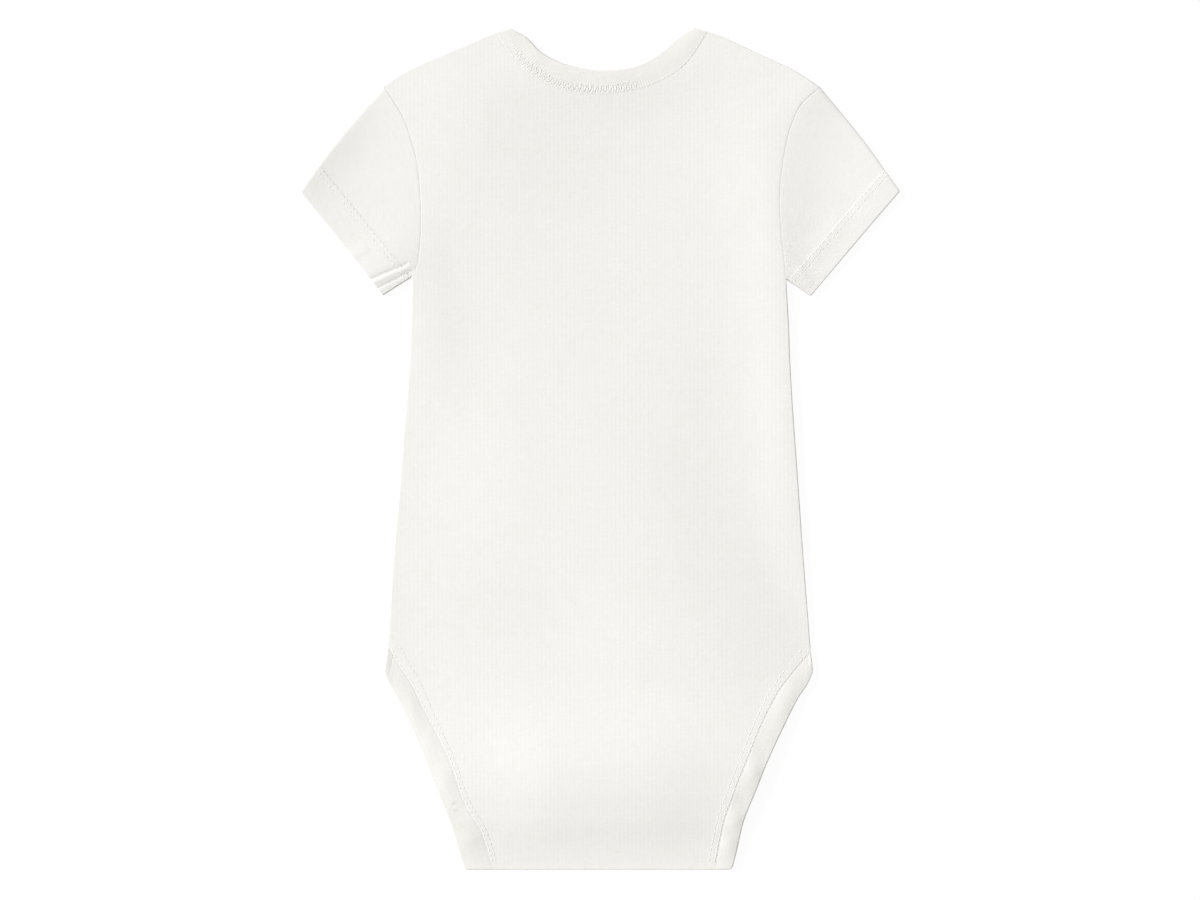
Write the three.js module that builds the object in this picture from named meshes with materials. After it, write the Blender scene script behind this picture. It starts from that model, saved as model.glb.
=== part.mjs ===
// A short-sleeved baby bodysuit laid flat on its front, with its back up: jersey panels and sleeves,
// ribbed bands at the neck and legs, and three snaps at the crotch. Millimetres: +X to the wearer's
// right, +Y to the neck, +Z up from the floor, with the origin under the middle of the garment.
import * as THREE from "three";

const gap = 0.3; // between two pieces at a seam, and between two layers
const seamRoom = 0.2; // how far each piece stays off its own side of a seam line
const jersey = 1; // wall of the panels and sleeves
const legRib = 1.6; // wall of a leg band, two layers of rib
const neckRib = 1.7; // wall of the neck band, two layers of rib
const bodyHeight = 3.35; // top of the back above the floor, at a side seam
const seamHeight = 1.6; // where the back and the front meet at a side seam
const legBandHeight = 2 * legRib + gap;
const neckBandHeight = 2 * neckRib + gap;
const sleeveHem = { wall: 1.6, height: 3.8, depthLeft: 16.5, depthRight: 13.5 };

// The crotch: the back folds under at foldY and runs up to underEnd, and the front flap lies below it.
const crotch = {
  foldY: -208.47,
  flapEnd: -190.6,
  underEnd: -168.6,
  bandLift: 1.9, // how far the flap and its bands lift the layers above them
  flapLift: 1.1, // the flap stands on the rings of the snaps
  underLift: 3.7,
  backLift: 2.65,
  flatHalf: 38, // the snaps keep the layers apart this far from the middle
  closedHalf: 50,
  flapRiseFrom: -157, // the flap leaves the floor here
  flapRiseTo: -169,
  foldRun: 7, // how far behind the fold the layers start to rise
  seatRun: 23, // how far above the folded-under end the back comes down again
};
const snap = { pitch: 28, ringOuter: 4.75, ringInner: 2.8, ringThick: 0.8, studRadius: 4, studThick: 1 };

// Seams and edges of the back as it lies, from the hip to the crotch fold.
const legSeamTable = [
  { leftX: -106, leftY: -98, rightX: 105.4, rightY: -101.3 },
  { leftX: -101.2, leftY: -107.3, rightX: 99.9, rightY: -107.7 },
  { leftX: -94.7, leftY: -116.9, rightX: 89.7, rightY: -120.7 },
  { leftX: -88.2, leftY: -129.9, rightX: 81.4, rightY: -136.4 },
  { leftX: -78, leftY: -149.4, rightX: 74.9, rightY: -152.1 },
  { leftX: -73.4, leftY: -160.4, rightX: 70.3, rightY: -163.2 },
  { leftX: -67.9, leftY: -176.2, rightX: 66.5, rightY: -173.4 },
  { leftX: -59.4, leftY: -190.9, rightX: 62, rightY: -186.4 },
  { leftX: -54, leftY: crotch.foldY, rightX: 57.8, rightY: crotch.foldY },
];
const legEdgeTable = [
  { leftX: -108, leftY: -111.4, rightX: 106.5, rightY: -111.4 },
  { leftX: -105, leftY: -117.9, rightX: 103.5, rightY: -117.9 },
  { leftX: -101, leftY: -125.4, rightX: 98.5, rightY: -125.4 },
  { leftX: -94, leftY: -140.4, rightX: 91, rightY: -140.4 },
  { leftX: -87.5, leftY: -155.4, rightX: 84, rightY: -155.4 },
  { leftX: -82, leftY: -170.4, rightX: 78, rightY: -170.4 },
  { leftX: -75.5, leftY: -185.4, rightX: 72, rightY: -185.4 },
  { leftX: -71, leftY: -200.4, rightX: 68.5, rightY: -200.4 },
  { leftX: -68.5, leftY: crotch.foldY, rightX: 66.5, rightY: crotch.foldY },
];
// Side seams, from the hip to the armpit.
const sideTable = [
  { leftX: -106, leftY: -98, rightX: 105.4, rightY: -101.3 },
  { leftX: -103.4, leftY: -55, rightX: 101.8, rightY: -55 },
  { leftX: -100.6, leftY: -22, rightX: 99.5, rightY: -22 },
  { leftX: -98.2, leftY: 10, rightX: 97.2, rightY: 10 },
  { leftX: -95.8, leftY: 38, rightX: 95.4, rightY: 38 },
  { leftX: -94.6, leftY: 65, rightX: 94.3, rightY: 65 },
  { leftX: -94.2, leftY: 86.1, rightX: 93, rightY: 85.1 },
];
// Armholes, from the armpit to the tip of the shoulder.
const armholeTable = [
  { leftX: -94.2, leftY: 86.1, rightX: 93, rightY: 85.1 },
  { leftX: -91, leftY: 94, rightX: 91.6, rightY: 98 },
  { leftX: -89.5, leftY: 111.1, rightX: 90.3, rightY: 111.1 },
  { leftX: -90, leftY: 127.6, rightX: 89.6, rightY: 126 },
  { leftX: -91.6, leftY: 143.6, rightX: 91.4, rightY: 144 },
  { leftX: -95, leftY: 156.6, rightX: 94.9, rightY: 160.2 },
  { leftX: -99.7, leftY: 168.2, rightX: 100.6, rightY: 172.6 },
  { leftX: -108.2, leftY: 181.4, rightX: 110, rightY: 180.9 },
];
// Shoulders, from the tip to the neck seam.
const shoulderTable = [
  { leftX: -108.2, leftY: 181.4, rightX: 110, rightY: 180.9 },
  { leftX: -95.5, leftY: 189.6, rightX: 96.5, rightY: 189.6 },
  { leftX: -77, leftY: 197.6, rightX: 79.5, rightY: 197.6 },
  { leftX: -58, leftY: 205.8, rightX: 62.5, rightY: 205.6 },
  { leftX: -52.5, leftY: 208.1, rightX: 54, rightY: 208.6 },
];
// The upper folds of the sleeves, from the shoulder to the hem, and the hems' lower corners.
const sleeveTopTable = [
  { leftX: -108.2, leftY: 181.4, rightX: 110, rightY: 180.9 },
  { leftX: -120.5, leftY: 167.6, rightX: 121.5, rightY: 167.1 },
  { leftX: -133, leftY: 152.4, rightX: 133, rightY: 152.6 },
  { leftX: -143.5, leftY: 138.2, rightX: 143.5, rightY: 138 },
  { leftX: -150.3, leftY: 128.4, rightX: 150.3, rightY: 128.6 },
];
const hemCorner = { leftX: -108.4, leftY: 76.9, rightX: 105.2, rightY: 76.6 };
// The back's neck, from left to right: the seam and the free edge of the band.
const neckTable = [
  { seamX: -52.5, seamY: 208.1, edgeX: -44.7, edgeY: 210.3 },
  { seamX: -43.5, seamY: 195.1, edgeX: -36.5, edgeY: 205.6 },
  { seamX: -33.2, seamY: 186.7, edgeX: -29.5, edgeY: 198.6 },
  { seamX: -25.5, seamY: 182.1, edgeX: -20.5, edgeY: 193.6 },
  { seamX: -14, seamY: 178.3, edgeX: -10, edgeY: 190.6 },
  { seamX: 1.2, seamY: 177, edgeX: 1, edgeY: 189.3 },
  { seamX: 16.5, seamY: 179.1, edgeX: 13, edgeY: 190.6 },
  { seamX: 28, seamY: 182.6, edgeX: 22.5, edgeY: 193.6 },
  { seamX: 39.5, seamY: 189.1, edgeX: 31, edgeY: 199 },
  { seamX: 47.2, seamY: 197.4, edgeX: 38.5, edgeY: 205.8 },
  { seamX: 54, seamY: 208.6, edgeX: 47, edgeY: 210.6 },
];
// Shares along each seam where the two pieces that meet there both have a station.
const seamShares = {
  leg: evenShares(14),
  arm: [0, 0.02, 0.07, 0.125, 0.19, 0.25, 0.375, 0.5, 0.625, 0.75, 0.875, 0.95, 1],
  neck: evenShares(14),
  frontLeg: evenShares(11),
  frontArm: [0, 0.02, 0.07, 0.19, 0.35, 0.5, 0.65, 0.8, 0.93, 1],
  frontNeck: [0, 0.012, ...evenShares(14).slice(1, -1), 0.988, 1],
};
const frontNeck = { seamDrop: 57, edgeDrop: 48, roundness: 1.9 }; // drops below the shoulders
const frontArmholeCut = 3; // the front armhole is cut this much deeper than the back's
const cornerRound = 1.2; // how far the bands draw in at the corners of the crotch fold
const underYs = [crotch.underEnd, -178, -186, -191, -194, -197, -200, -203]; // rows of the folded-under back
const foldSteps = 6;
const underBand = { left: 13, right: 9.5 }; // width of the leg bands beside the folded-under back
const flapCorner = { leftSeam: -55.5, leftEdge: -66, rightSeam: 57.5, rightEdge: 67 }; // at the flap's end

// Soft folds in the back: a place, the turn of its long side from X in degrees, sizes and rise.
const backFolds = [
  { x: 6, y: -62, turn: 90, length: 95, width: 52, rise: 1.3 },
  { x: 8, y: -86, turn: 20, length: 34, width: 20, rise: 0.45 },
  { x: 84, y: 48, turn: 92, length: 82, width: 8, rise: 0.8 },
  { x: 64, y: 40, turn: 93, length: 88, width: 13, rise: -0.75 },
  { x: -64, y: 78, turn: 88, length: 50, width: 12, rise: -0.6 },
  { x: -82, y: 80, turn: 86, length: 52, width: 7, rise: 0.6 },
  { x: -6, y: 150, turn: 4, length: 42, width: 17, rise: 0.7 },
];
// Creases in the left sleeve beside the underarm seam, as lines on the garment.
const sleeveCreases = [
  { fromX: -113.5, fromY: 85.6, toX: -99.2, toY: 92, width: 1.9, rise: 0.9 },
  { fromX: -110, fromY: 80.8, toX: -96.5, toY: 87.4, width: 1.5, rise: 0.7 },
];
const seamFade = 16; // the folds of the back die away this far from a seam
const shoulderLooks = { sideways: 0.44, upwards: 0.9 }; // the way that the edge of a shoulder faces
const sleeveBulge = 0.9; // rise of a sleeve's upper layer between its folds

const { lerp, smoothstep, degToRad } = THREE.MathUtils;
const up = new THREE.Vector3(0, 0, 1);
const down = new THREE.Vector3(0, 0, -1);
const flat = (x, y) => new THREE.Vector2(x, y);

function evenShares(count) {
  return Array.from({ length: count + 1 }, (_, step) => step / count);
}

function curveOf(points) {
  const curve = new THREE.SplineCurve(points);
  curve.arcLengthDivisions = 400;
  return curve;
}

function bothSides(table) {
  return {
    left: curveOf(table.map((row) => flat(row.leftX, row.leftY))),
    right: curveOf(table.map((row) => flat(row.rightX, row.rightY))),
  };
}

const legSeam = bothSides(legSeamTable);
const legEdge = bothSides(legEdgeTable);
const sideSeam = bothSides(sideTable);
const armhole = bothSides(armholeTable);
const shoulder = bothSides(shoulderTable);
const sleeveTop = bothSides(sleeveTopTable);
const backNeck = {
  seam: curveOf(neckTable.map((row) => flat(row.seamX, row.seamY))),
  edge: curveOf(neckTable.map((row) => flat(row.edgeX, row.edgeY))),
};

// A front leg line runs from the hip to the flap's corner, cut further in than the back's.
function frontLeg(from, to) {
  const points = [];
  for (let step = 0; step <= 8; step++) {
    const along = step / 8;
    const turn = (along * Math.PI) / 2;
    const x = (along + Math.sin(turn)) / 2;
    const y = (along + 1 - Math.cos(turn)) / 2;
    points.push(flat(lerp(from.x, to.x, x), lerp(from.y, to.y, y)));
  }
  return curveOf(points);
}

// A front neck line hangs between the same two shoulder points as the back's.
function frontNeckLine(backLine, drop) {
  const from = backLine.getPoint(0);
  const to = backLine.getPoint(1);
  const points = evenShares(16).map((across) => {
    const level = lerp(from.y, to.y, across);
    return flat(lerp(from.x, to.x, across), level - drop * (1 - Math.abs(2 * across - 1) ** frontNeck.roundness));
  });
  return curveOf(points);
}

const outwardX = { left: -1, right: 1 };
const frontLegSeam = {
  left: frontLeg(legSeam.left.getPoint(0), flat(flapCorner.leftSeam, crotch.flapEnd)),
  right: frontLeg(legSeam.right.getPoint(0), flat(flapCorner.rightSeam, crotch.flapEnd)),
};
const frontLegEdge = {
  left: frontLeg(legEdge.left.getPoint(0), flat(flapCorner.leftEdge, crotch.flapEnd)),
  right: frontLeg(legEdge.right.getPoint(0), flat(flapCorner.rightEdge, crotch.flapEnd)),
};
const frontNeckCurves = {
  seam: frontNeckLine(backNeck.seam, frontNeck.seamDrop),
  edge: frontNeckLine(backNeck.edge, frontNeck.edgeDrop),
};
const frontArmhole = {
  left: curveOf(deepened(armholeTable.map((row) => flat(row.leftX, row.leftY)), 1)),
  right: curveOf(deepened(armholeTable.map((row) => flat(row.rightX, row.rightY)), -1)),
};

function deepened(points, inward) {
  return points.map((point, i) => {
    const share = Math.sin((i / (points.length - 1)) * Math.PI);
    return flat(point.x + inward * frontArmholeCut * share, point.y);
  });
}

// Heights at the crotch. The stack of layers rises behind the fold and ends above underEnd.
const stackStart = (y) => smoothstep(y, crotch.foldY + crotch.foldRun, crotch.flapEnd - 3);
const stackEnd = (y) => 1 - smoothstep(y, crotch.underEnd + 2, crotch.underEnd + crotch.seatRun);
const nearSnaps = (x) => 1 - smoothstep(Math.abs(x), crotch.flatHalf, crotch.closedHalf);

function backRelief(x, y) {
  let rise = 0;
  for (const fold of backFolds) {
    const turn = degToRad(fold.turn);
    const along = (x - fold.x) * Math.cos(turn) + (y - fold.y) * Math.sin(turn);
    const across = (y - fold.y) * Math.cos(turn) - (x - fold.x) * Math.sin(turn);
    rise += fold.rise * Math.exp(-((along / fold.length) ** 2) - (across / fold.width) ** 2);
  }
  return rise;
}

const backStack = (x, y) => stackStart(y) * stackEnd(y) * lerp(crotch.bandLift, crotch.backLift, nearSnaps(x));
const underStack = (x, y) => stackStart(y) * lerp(crotch.bandLift, crotch.underLift, nearSnaps(x));
const flapRise = (y) => 1 - smoothstep(y, crotch.flapRiseTo, crotch.flapRiseFrom);
const flapStack = (x, y) => flapRise(y) * crotch.flapLift * nearSnaps(x);

// A wall of cloth over rows of stations. A station has a point on the outer face, the way that the face
// looks and the wall's thickness there. The rows, and the stations in a row, can close on themselves.
function clothWall(rows, { rowsClose = false, stationsClose = false } = {}) {
  const rowCount = rows.length;
  const wide = rows[0].length;
  const positions = [];
  for (const row of rows) {
    for (const { point } of row) positions.push(point.x, point.y, point.z);
  }
  for (const row of rows) {
    for (const { point, looks, thick } of row) {
      const inner = point.clone().addScaledVector(looks, -thick);
      positions.push(inner.x, inner.y, inner.z);
    }
  }
  const outer = (j, i) => (j % rowCount) * wide + (i % wide);
  const inner = (j, i) => outer(j, i) + rowCount * wide;
  const faces = [];
  const quad = (a, b, c, d) => faces.push(a, b, c, a, c, d);
  const lastRow = rowsClose ? rowCount : rowCount - 1;
  const lastStation = stationsClose ? wide : wide - 1;
  for (let j = 0; j < lastRow; j++) {
    for (let i = 0; i < lastStation; i++) {
      quad(outer(j, i), outer(j, i + 1), outer(j + 1, i + 1), outer(j + 1, i));
      quad(inner(j, i), inner(j + 1, i), inner(j + 1, i + 1), inner(j, i + 1));
    }
    if (!stationsClose) {
      quad(outer(j, 0), outer(j + 1, 0), inner(j + 1, 0), inner(j, 0));
      quad(outer(j, wide - 1), inner(j, wide - 1), inner(j + 1, wide - 1), outer(j + 1, wide - 1));
    }
  }
  for (let i = 0; i < lastStation && !rowsClose; i++) {
    quad(outer(0, i), inner(0, i), inner(0, i + 1), outer(0, i + 1));
    quad(outer(rowCount - 1, i), outer(rowCount - 1, i + 1), inner(rowCount - 1, i + 1), inner(rowCount - 1, i));
  }
  const geometry = new THREE.BufferGeometry();
  geometry.setAttribute("position", new THREE.Float32BufferAttribute(positions, 3));
  geometry.setIndex(volumeOf(positions, faces) < 0 ? faces.reverse() : faces);
  geometry.computeVertexNormals();
  return geometry;
}

function volumeOf(positions, faces) {
  const corner = (k) => new THREE.Vector3().fromArray(positions, faces[k] * 3);
  let volume = 0;
  for (let k = 0; k < faces.length; k += 3) {
    volume += corner(k).dot(corner(k + 1).cross(corner(k + 2))) / 6;
  }
  return volume;
}

// A panel's columns: those over the rolled edge, then the shoulder's, then the neck's, and back again.
function panelColumns({ rollSteps, shoulderSteps, neckShares }) {
  const half = [];
  for (let step = 0; step <= rollSteps; step++) half.push({ roll: (step / rollSteps) * (Math.PI / 2) });
  for (let step = 1; step <= shoulderSteps; step++) half.push({ shoulder: step / shoulderSteps });
  const neck = neckShares.slice(1, -1).map((share) => ({ neck: share }));
  const left = half.map((column) => ({ ...column, side: "left" }));
  const right = half.map((column) => ({ ...column, side: "right" })).reverse();
  return [...left, ...neck, ...right];
}

const nearCorner = 0.02; // share of a leg seam at the row next to the hip
const sideEnd = 0.008; // share of a side seam that its rows stay off the corners
const neckShare = 0.255; // where the neck seam starts across a row, as a share of its width

// A panel's rows from the leg seams to the shoulders: the two ends of each, whether they roll over into
// a side seam, and how much of the shoulders' shape the row has.
function panelRows({ legs, legShares, sideSteps, armholes, armShares, rollSteps, radius }) {
  const rows = [];
  const add = (curves, share, rolls, shape, toTop) =>
    rows.push({ left: curves.left.getPointAt(share), right: curves.right.getPointAt(share), rolls, shape, toTop });
  for (const share of legShares.slice(1).reverse()) add(legs, share, false, 0, Infinity);
  add(legs, nearCorner, false, 0, Infinity);
  for (const share of evenShares(sideSteps)) add(sideSeam, lerp(sideEnd, 1 - sideEnd, share), true, 0, Infinity);
  const length = armholes.left.getLength();
  for (const share of armShares.slice(1, -1)) {
    add(armholes, share, false, smoothstep(share, 0, 1), (1 - share) * length);
  }
  for (let step = rollSteps; step >= 0; step--) {
    const toTop = rollDepth(radius, (step / rollSteps) * (Math.PI / 2));
    add(armholes, 1 - toTop / length, false, 1, toTop);
  }
  return rows;
}

const rollDepth = (radius, turn) => radius * (1 - Math.cos(turn));

// The points of a panel's top line, one for each column.
function topLine(columns, neck, radius) {
  return columns.map((column) => {
    if (column.neck !== undefined) {
      const seam = neck.seam.getPointAt(column.neck);
      const away = seam.clone().sub(neck.edge.getPointAt(column.neck)).normalize();
      return seam.addScaledVector(away, seamRoom);
    }
    const curve = shoulder[column.side];
    const length = curve.getLength() - seamRoom;
    const from = column.roll !== undefined ? seamRoom + rollDepth(radius, column.roll) : column.shoulder * length;
    return curve.getPointAt(from / curve.getLength());
  });
}

// One panel: side is 1 for the back, whose outer face looks up, and -1 for the front.
function panelStations({ side, columns, rows, neck, radius, relief }) {
  const top = topLine(columns, neck, radius);
  const highest = rows[rows.length - 1];
  const across = (row, column) => {
    const width = row.right.x - row.left.x;
    let share = 0.5;
    if (column.neck !== undefined) return lerp(neckShare, 1 - neckShare, column.neck);
    if (column.roll !== undefined) share = (rollDepth(radius, column.roll) + (row.rolls ? 0 : seamRoom)) / width;
    if (column.shoulder !== undefined) share = column.shoulder * neckShare;
    return column.side === "left" ? share : 1 - share;
  };
  return rows.map((row) =>
    columns.map((column, i) => {
      const share = across(row, column);
      const atTop = across(highest, column);
      const place = row.left.clone().lerp(row.right, share);
      const shape = top[i].clone().sub(highest.left.clone().lerp(highest.right, atTop));
      place.addScaledVector(shape, row.shape);
      const narrowing = highest.right.x - highest.left.x - (row.right.x - row.left.x);
      const held = column.neck !== undefined ? 1 : (column.shoulder ?? 0);
      place.x += row.shape * held * (share - 0.5) * narrowing; // keeps the columns upright below the neck
      const sideways = column.side === "right" ? 1 : -1;
      let turn = Math.PI / 2;
      const outward = new THREE.Vector3(sideways, 0, 0);
      if (row.rolls && column.roll !== undefined) turn = column.roll;
      if (row.toTop < radius && column.neck === undefined) {
        turn = Math.acos(1 - row.toTop / radius);
        outward.set(shoulderLooks.sideways * sideways, shoulderLooks.upwards, 0).normalize();
      }
      const toSide = Math.min(share, 1 - share) * (row.right.x - row.left.x);
      const fade = smoothstep(Math.min(toSide, row.toTop), radius, seamFade);
      const rolled = seamHeight + side * (gap / 2 + radius * Math.sin(turn));
      const height = rolled + relief(place.x, place.y, fade);
      const looks = outward.multiplyScalar(Math.cos(turn)).addScaledVector(up, side * Math.sin(turn));
      return { point: new THREE.Vector3(place.x, place.y, height), looks, thick: jersey };
    }),
  );
}

// The back folds under at the crotch: rows round the fold, then rows on the underside.
function underStations(columnPlaces, radius) {
  const rows = underYs.map((y) =>
    columnPlaces.map((x) => ({ point: new THREE.Vector3(x, y, underStack(x, y)), looks: down, thick: jersey })),
  );
  for (let step = foldSteps; step > 0; step--) {
    const turn = (step / foldSteps) * Math.PI;
    const looks = new THREE.Vector3(0, -Math.sin(turn), Math.cos(turn));
    rows.push(
      columnPlaces.map((x) => {
        const point = new THREE.Vector3(x, crotch.foldY, radius).addScaledVector(looks, radius);
        return { point, looks, thick: jersey };
      }),
    );
  }
  return rows;
}

function backPanel() {
  const radius = bodyHeight - seamHeight - gap / 2;
  const columns = panelColumns({ rollSteps: 3, shoulderSteps: 4, neckShares: seamShares.neck });
  const rows = panelRows({
    legs: legSeam,
    legShares: seamShares.leg,
    sideSteps: 13,
    armholes: armhole,
    armShares: seamShares.arm,
    rollSteps: 3,
    radius,
  });
  const relief = (x, y, fade) => backRelief(x, y) * fade + backStack(x, y);
  const upper = panelStations({ side: 1, columns, rows, neck: backNeck, radius, relief });
  const places = upper[0].map(({ point }) => point.x);
  const under = underStations(places, bodyHeight / 2);
  return clothWall([...under, ...upper]);
}

function frontPanel() {
  const radius = seamHeight - gap / 2;
  const columns = panelColumns({ rollSteps: 2, shoulderSteps: 2, neckShares: seamShares.frontNeck });
  const rows = panelRows({
    legs: frontLegSeam,
    legShares: seamShares.frontLeg,
    sideSteps: 6,
    armholes: frontArmhole,
    armShares: seamShares.frontArm,
    rollSteps: 2,
    radius,
  });
  const relief = (x, y) => flapStack(x, y);
  return clothWall(panelStations({ side: -1, columns, rows, neck: frontNeckCurves, radius, relief }));
}

// How far along a curve it has come away from its start by a given depth.
function reach(curve, outward, depth, fromEnd = false) {
  const at = (share) => curve.getPointAt(fromEnd ? 1 - share : share);
  const start = at(0);
  let low = 0;
  let high = 0.3;
  for (let step = 0; step < 24; step++) {
    const middle = (low + high) / 2;
    const depthThere = start.clone().sub(at(middle)).dot(outward);
    if (depthThere < depth) low = middle;
    else high = middle;
  }
  return fromEnd ? 1 - low : low;
}

// A rib's section from its seam to its free edge: the share across, and how far both faces draw in.
const ribSection = [
  { across: 0, draw: 0.35 },
  { across: 0.12, draw: 0.06 },
  { across: 0.4, draw: 0 },
  { across: 0.72, draw: 0 },
  { across: 0.93, draw: 0.25 },
  { across: 1, draw: 0.72 },
];

// One row of a band, between a point on its seam and one on its free edge.
function ribRow(seam, edge, height, looks, wall) {
  const width = seam.distanceTo(edge);
  const start = seam.clone().lerp(edge, (seamRoom + 0.05) / width);
  return ribSection.map(({ across, draw }) => {
    const place = start.clone().lerp(edge, across);
    const point = new THREE.Vector3(place.x, place.y, height).addScaledVector(looks, -draw);
    return { point, looks, thick: wall - 2 * draw };
  });
}

// Rows where a flattened band turns over at one end, from its upper layer to its lower one.
function turnRows({ upper, lower, outward, height, wall, fromEnd, steps }) {
  const radius = height / 2;
  const rows = [];
  for (let step = 0; step <= 2 * steps; step++) {
    const turn = (step / (2 * steps)) * Math.PI;
    const curves = step < steps ? upper : lower;
    const depth = radius * (1 - Math.sin(turn));
    const seam = curves.seam.getPointAt(reach(curves.seam, outward, depth, fromEnd));
    const edge = curves.edge.getPointAt(reach(curves.edge, outward, depth, fromEnd));
    const looks = new THREE.Vector3(outward.x, outward.y, 0).multiplyScalar(Math.sin(turn));
    looks.addScaledVector(up, Math.cos(turn));
    rows.push(ribRow(seam, edge, radius + radius * Math.cos(turn), looks, wall));
  }
  return rows;
}

function outwardOf(seam, edge, away) {
  const along = edge.clone().sub(seam).normalize();
  const outward = flat(-along.y, along.x);
  return outward.dot(away) < 0 ? outward.negate() : outward;
}

function neckBand() {
  const common = { upper: backNeck, lower: frontNeckCurves, height: neckBandHeight, wall: neckRib, steps: 3 };
  const ends = [0, 1].map((end) => outwardOf(backNeck.seam.getPoint(end), backNeck.edge.getPoint(end), flat(0, 1)));
  const rightTurn = turnRows({ outward: ends[1], fromEnd: true, ...common });
  const leftTurn = turnRows({ outward: ends[0], fromEnd: false, ...common }).reverse();
  const rowAt = (curves, share, height, looks) =>
    ribRow(curves.seam.getPointAt(share), curves.edge.getPointAt(share), height, looks, neckRib);
  const backRows = seamShares.neck.slice(1, -1).map((share) => rowAt(backNeck, share, neckBandHeight, up));
  const frontShares = seamShares.frontNeck.slice(1, -1).reverse();
  const frontRows = frontShares.map((share) => rowAt(frontNeckCurves, share, 0, down));
  return clothWall([...backRows, ...rightTurn, ...frontRows, ...leftTurn], { rowsClose: true });
}

// A leg band runs from the end of the folded-under back, round the crotch fold, up the back's leg seam,
// over at the hip and down the front's leg seam to the end of the flap.
function legBand(side) {
  const outX = outwardX[side];
  const upper = { seam: legSeam[side], edge: legEdge[side] };
  const lower = { seam: frontLegSeam[side], edge: frontLegEdge[side] };
  const seamX = upper.seam.getPoint(1).x;
  const edgeX = upper.edge.getPoint(1).x;
  const rows = underYs.map((y) => {
    const width = lerp(Math.abs(edgeX - seamX), underBand[side], smoothstep(y, crotch.foldY, crotch.flapEnd));
    return ribRow(flat(seamX, y), flat(seamX + outX * width, y), crotch.bandLift * stackStart(y), down, legRib);
  });
  const radius = legBandHeight / 2;
  for (let step = foldSteps; step > 0; step--) {
    const turn = (step / foldSteps) * Math.PI;
    const looks = new THREE.Vector3(0, -Math.sin(turn), Math.cos(turn));
    const y = crotch.foldY - radius * Math.sin(turn);
    const edge = flat(edgeX - outX * cornerRound * Math.sin(turn), y);
    rows.push(ribRow(flat(seamX, y), edge, radius + radius * Math.cos(turn), looks, legRib));
  }
  for (const share of seamShares.leg.slice(1).reverse()) {
    const seam = upper.seam.getPointAt(share);
    const edge = upper.edge.getPointAt(share);
    const middleY = (seam.y + edge.y) / 2;
    const height = legBandHeight + crotch.bandLift * stackStart(middleY) * stackEnd(middleY);
    rows.push(ribRow(seam, edge, height, up, legRib));
  }
  const outward = outwardOf(upper.seam.getPoint(0), upper.edge.getPoint(0), flat(outX, 0));
  rows.push(...turnRows({ upper, lower, outward, height: legBandHeight, wall: legRib, fromEnd: false, steps: 3 }));
  for (const share of seamShares.frontLeg.slice(1)) {
    rows.push(ribRow(lower.seam.getPointAt(share), lower.edge.getPointAt(share), 0, down, legRib));
  }
  return clothWall(rows);
}

// Rise of the creases at a place on the left sleeve.
function creaseRise(place) {
  let rise = 0;
  for (const crease of sleeveCreases) {
    const from = flat(crease.fromX, crease.fromY);
    const run = flat(crease.toX, crease.toY).sub(from);
    const share = THREE.MathUtils.clamp(place.clone().sub(from).dot(run) / run.lengthSq(), 0, 1);
    const away = place.distanceTo(from.addScaledVector(run, share));
    rise += crease.rise * Math.exp(-((away / crease.width) ** 2));
  }
  return rise;
}

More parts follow.
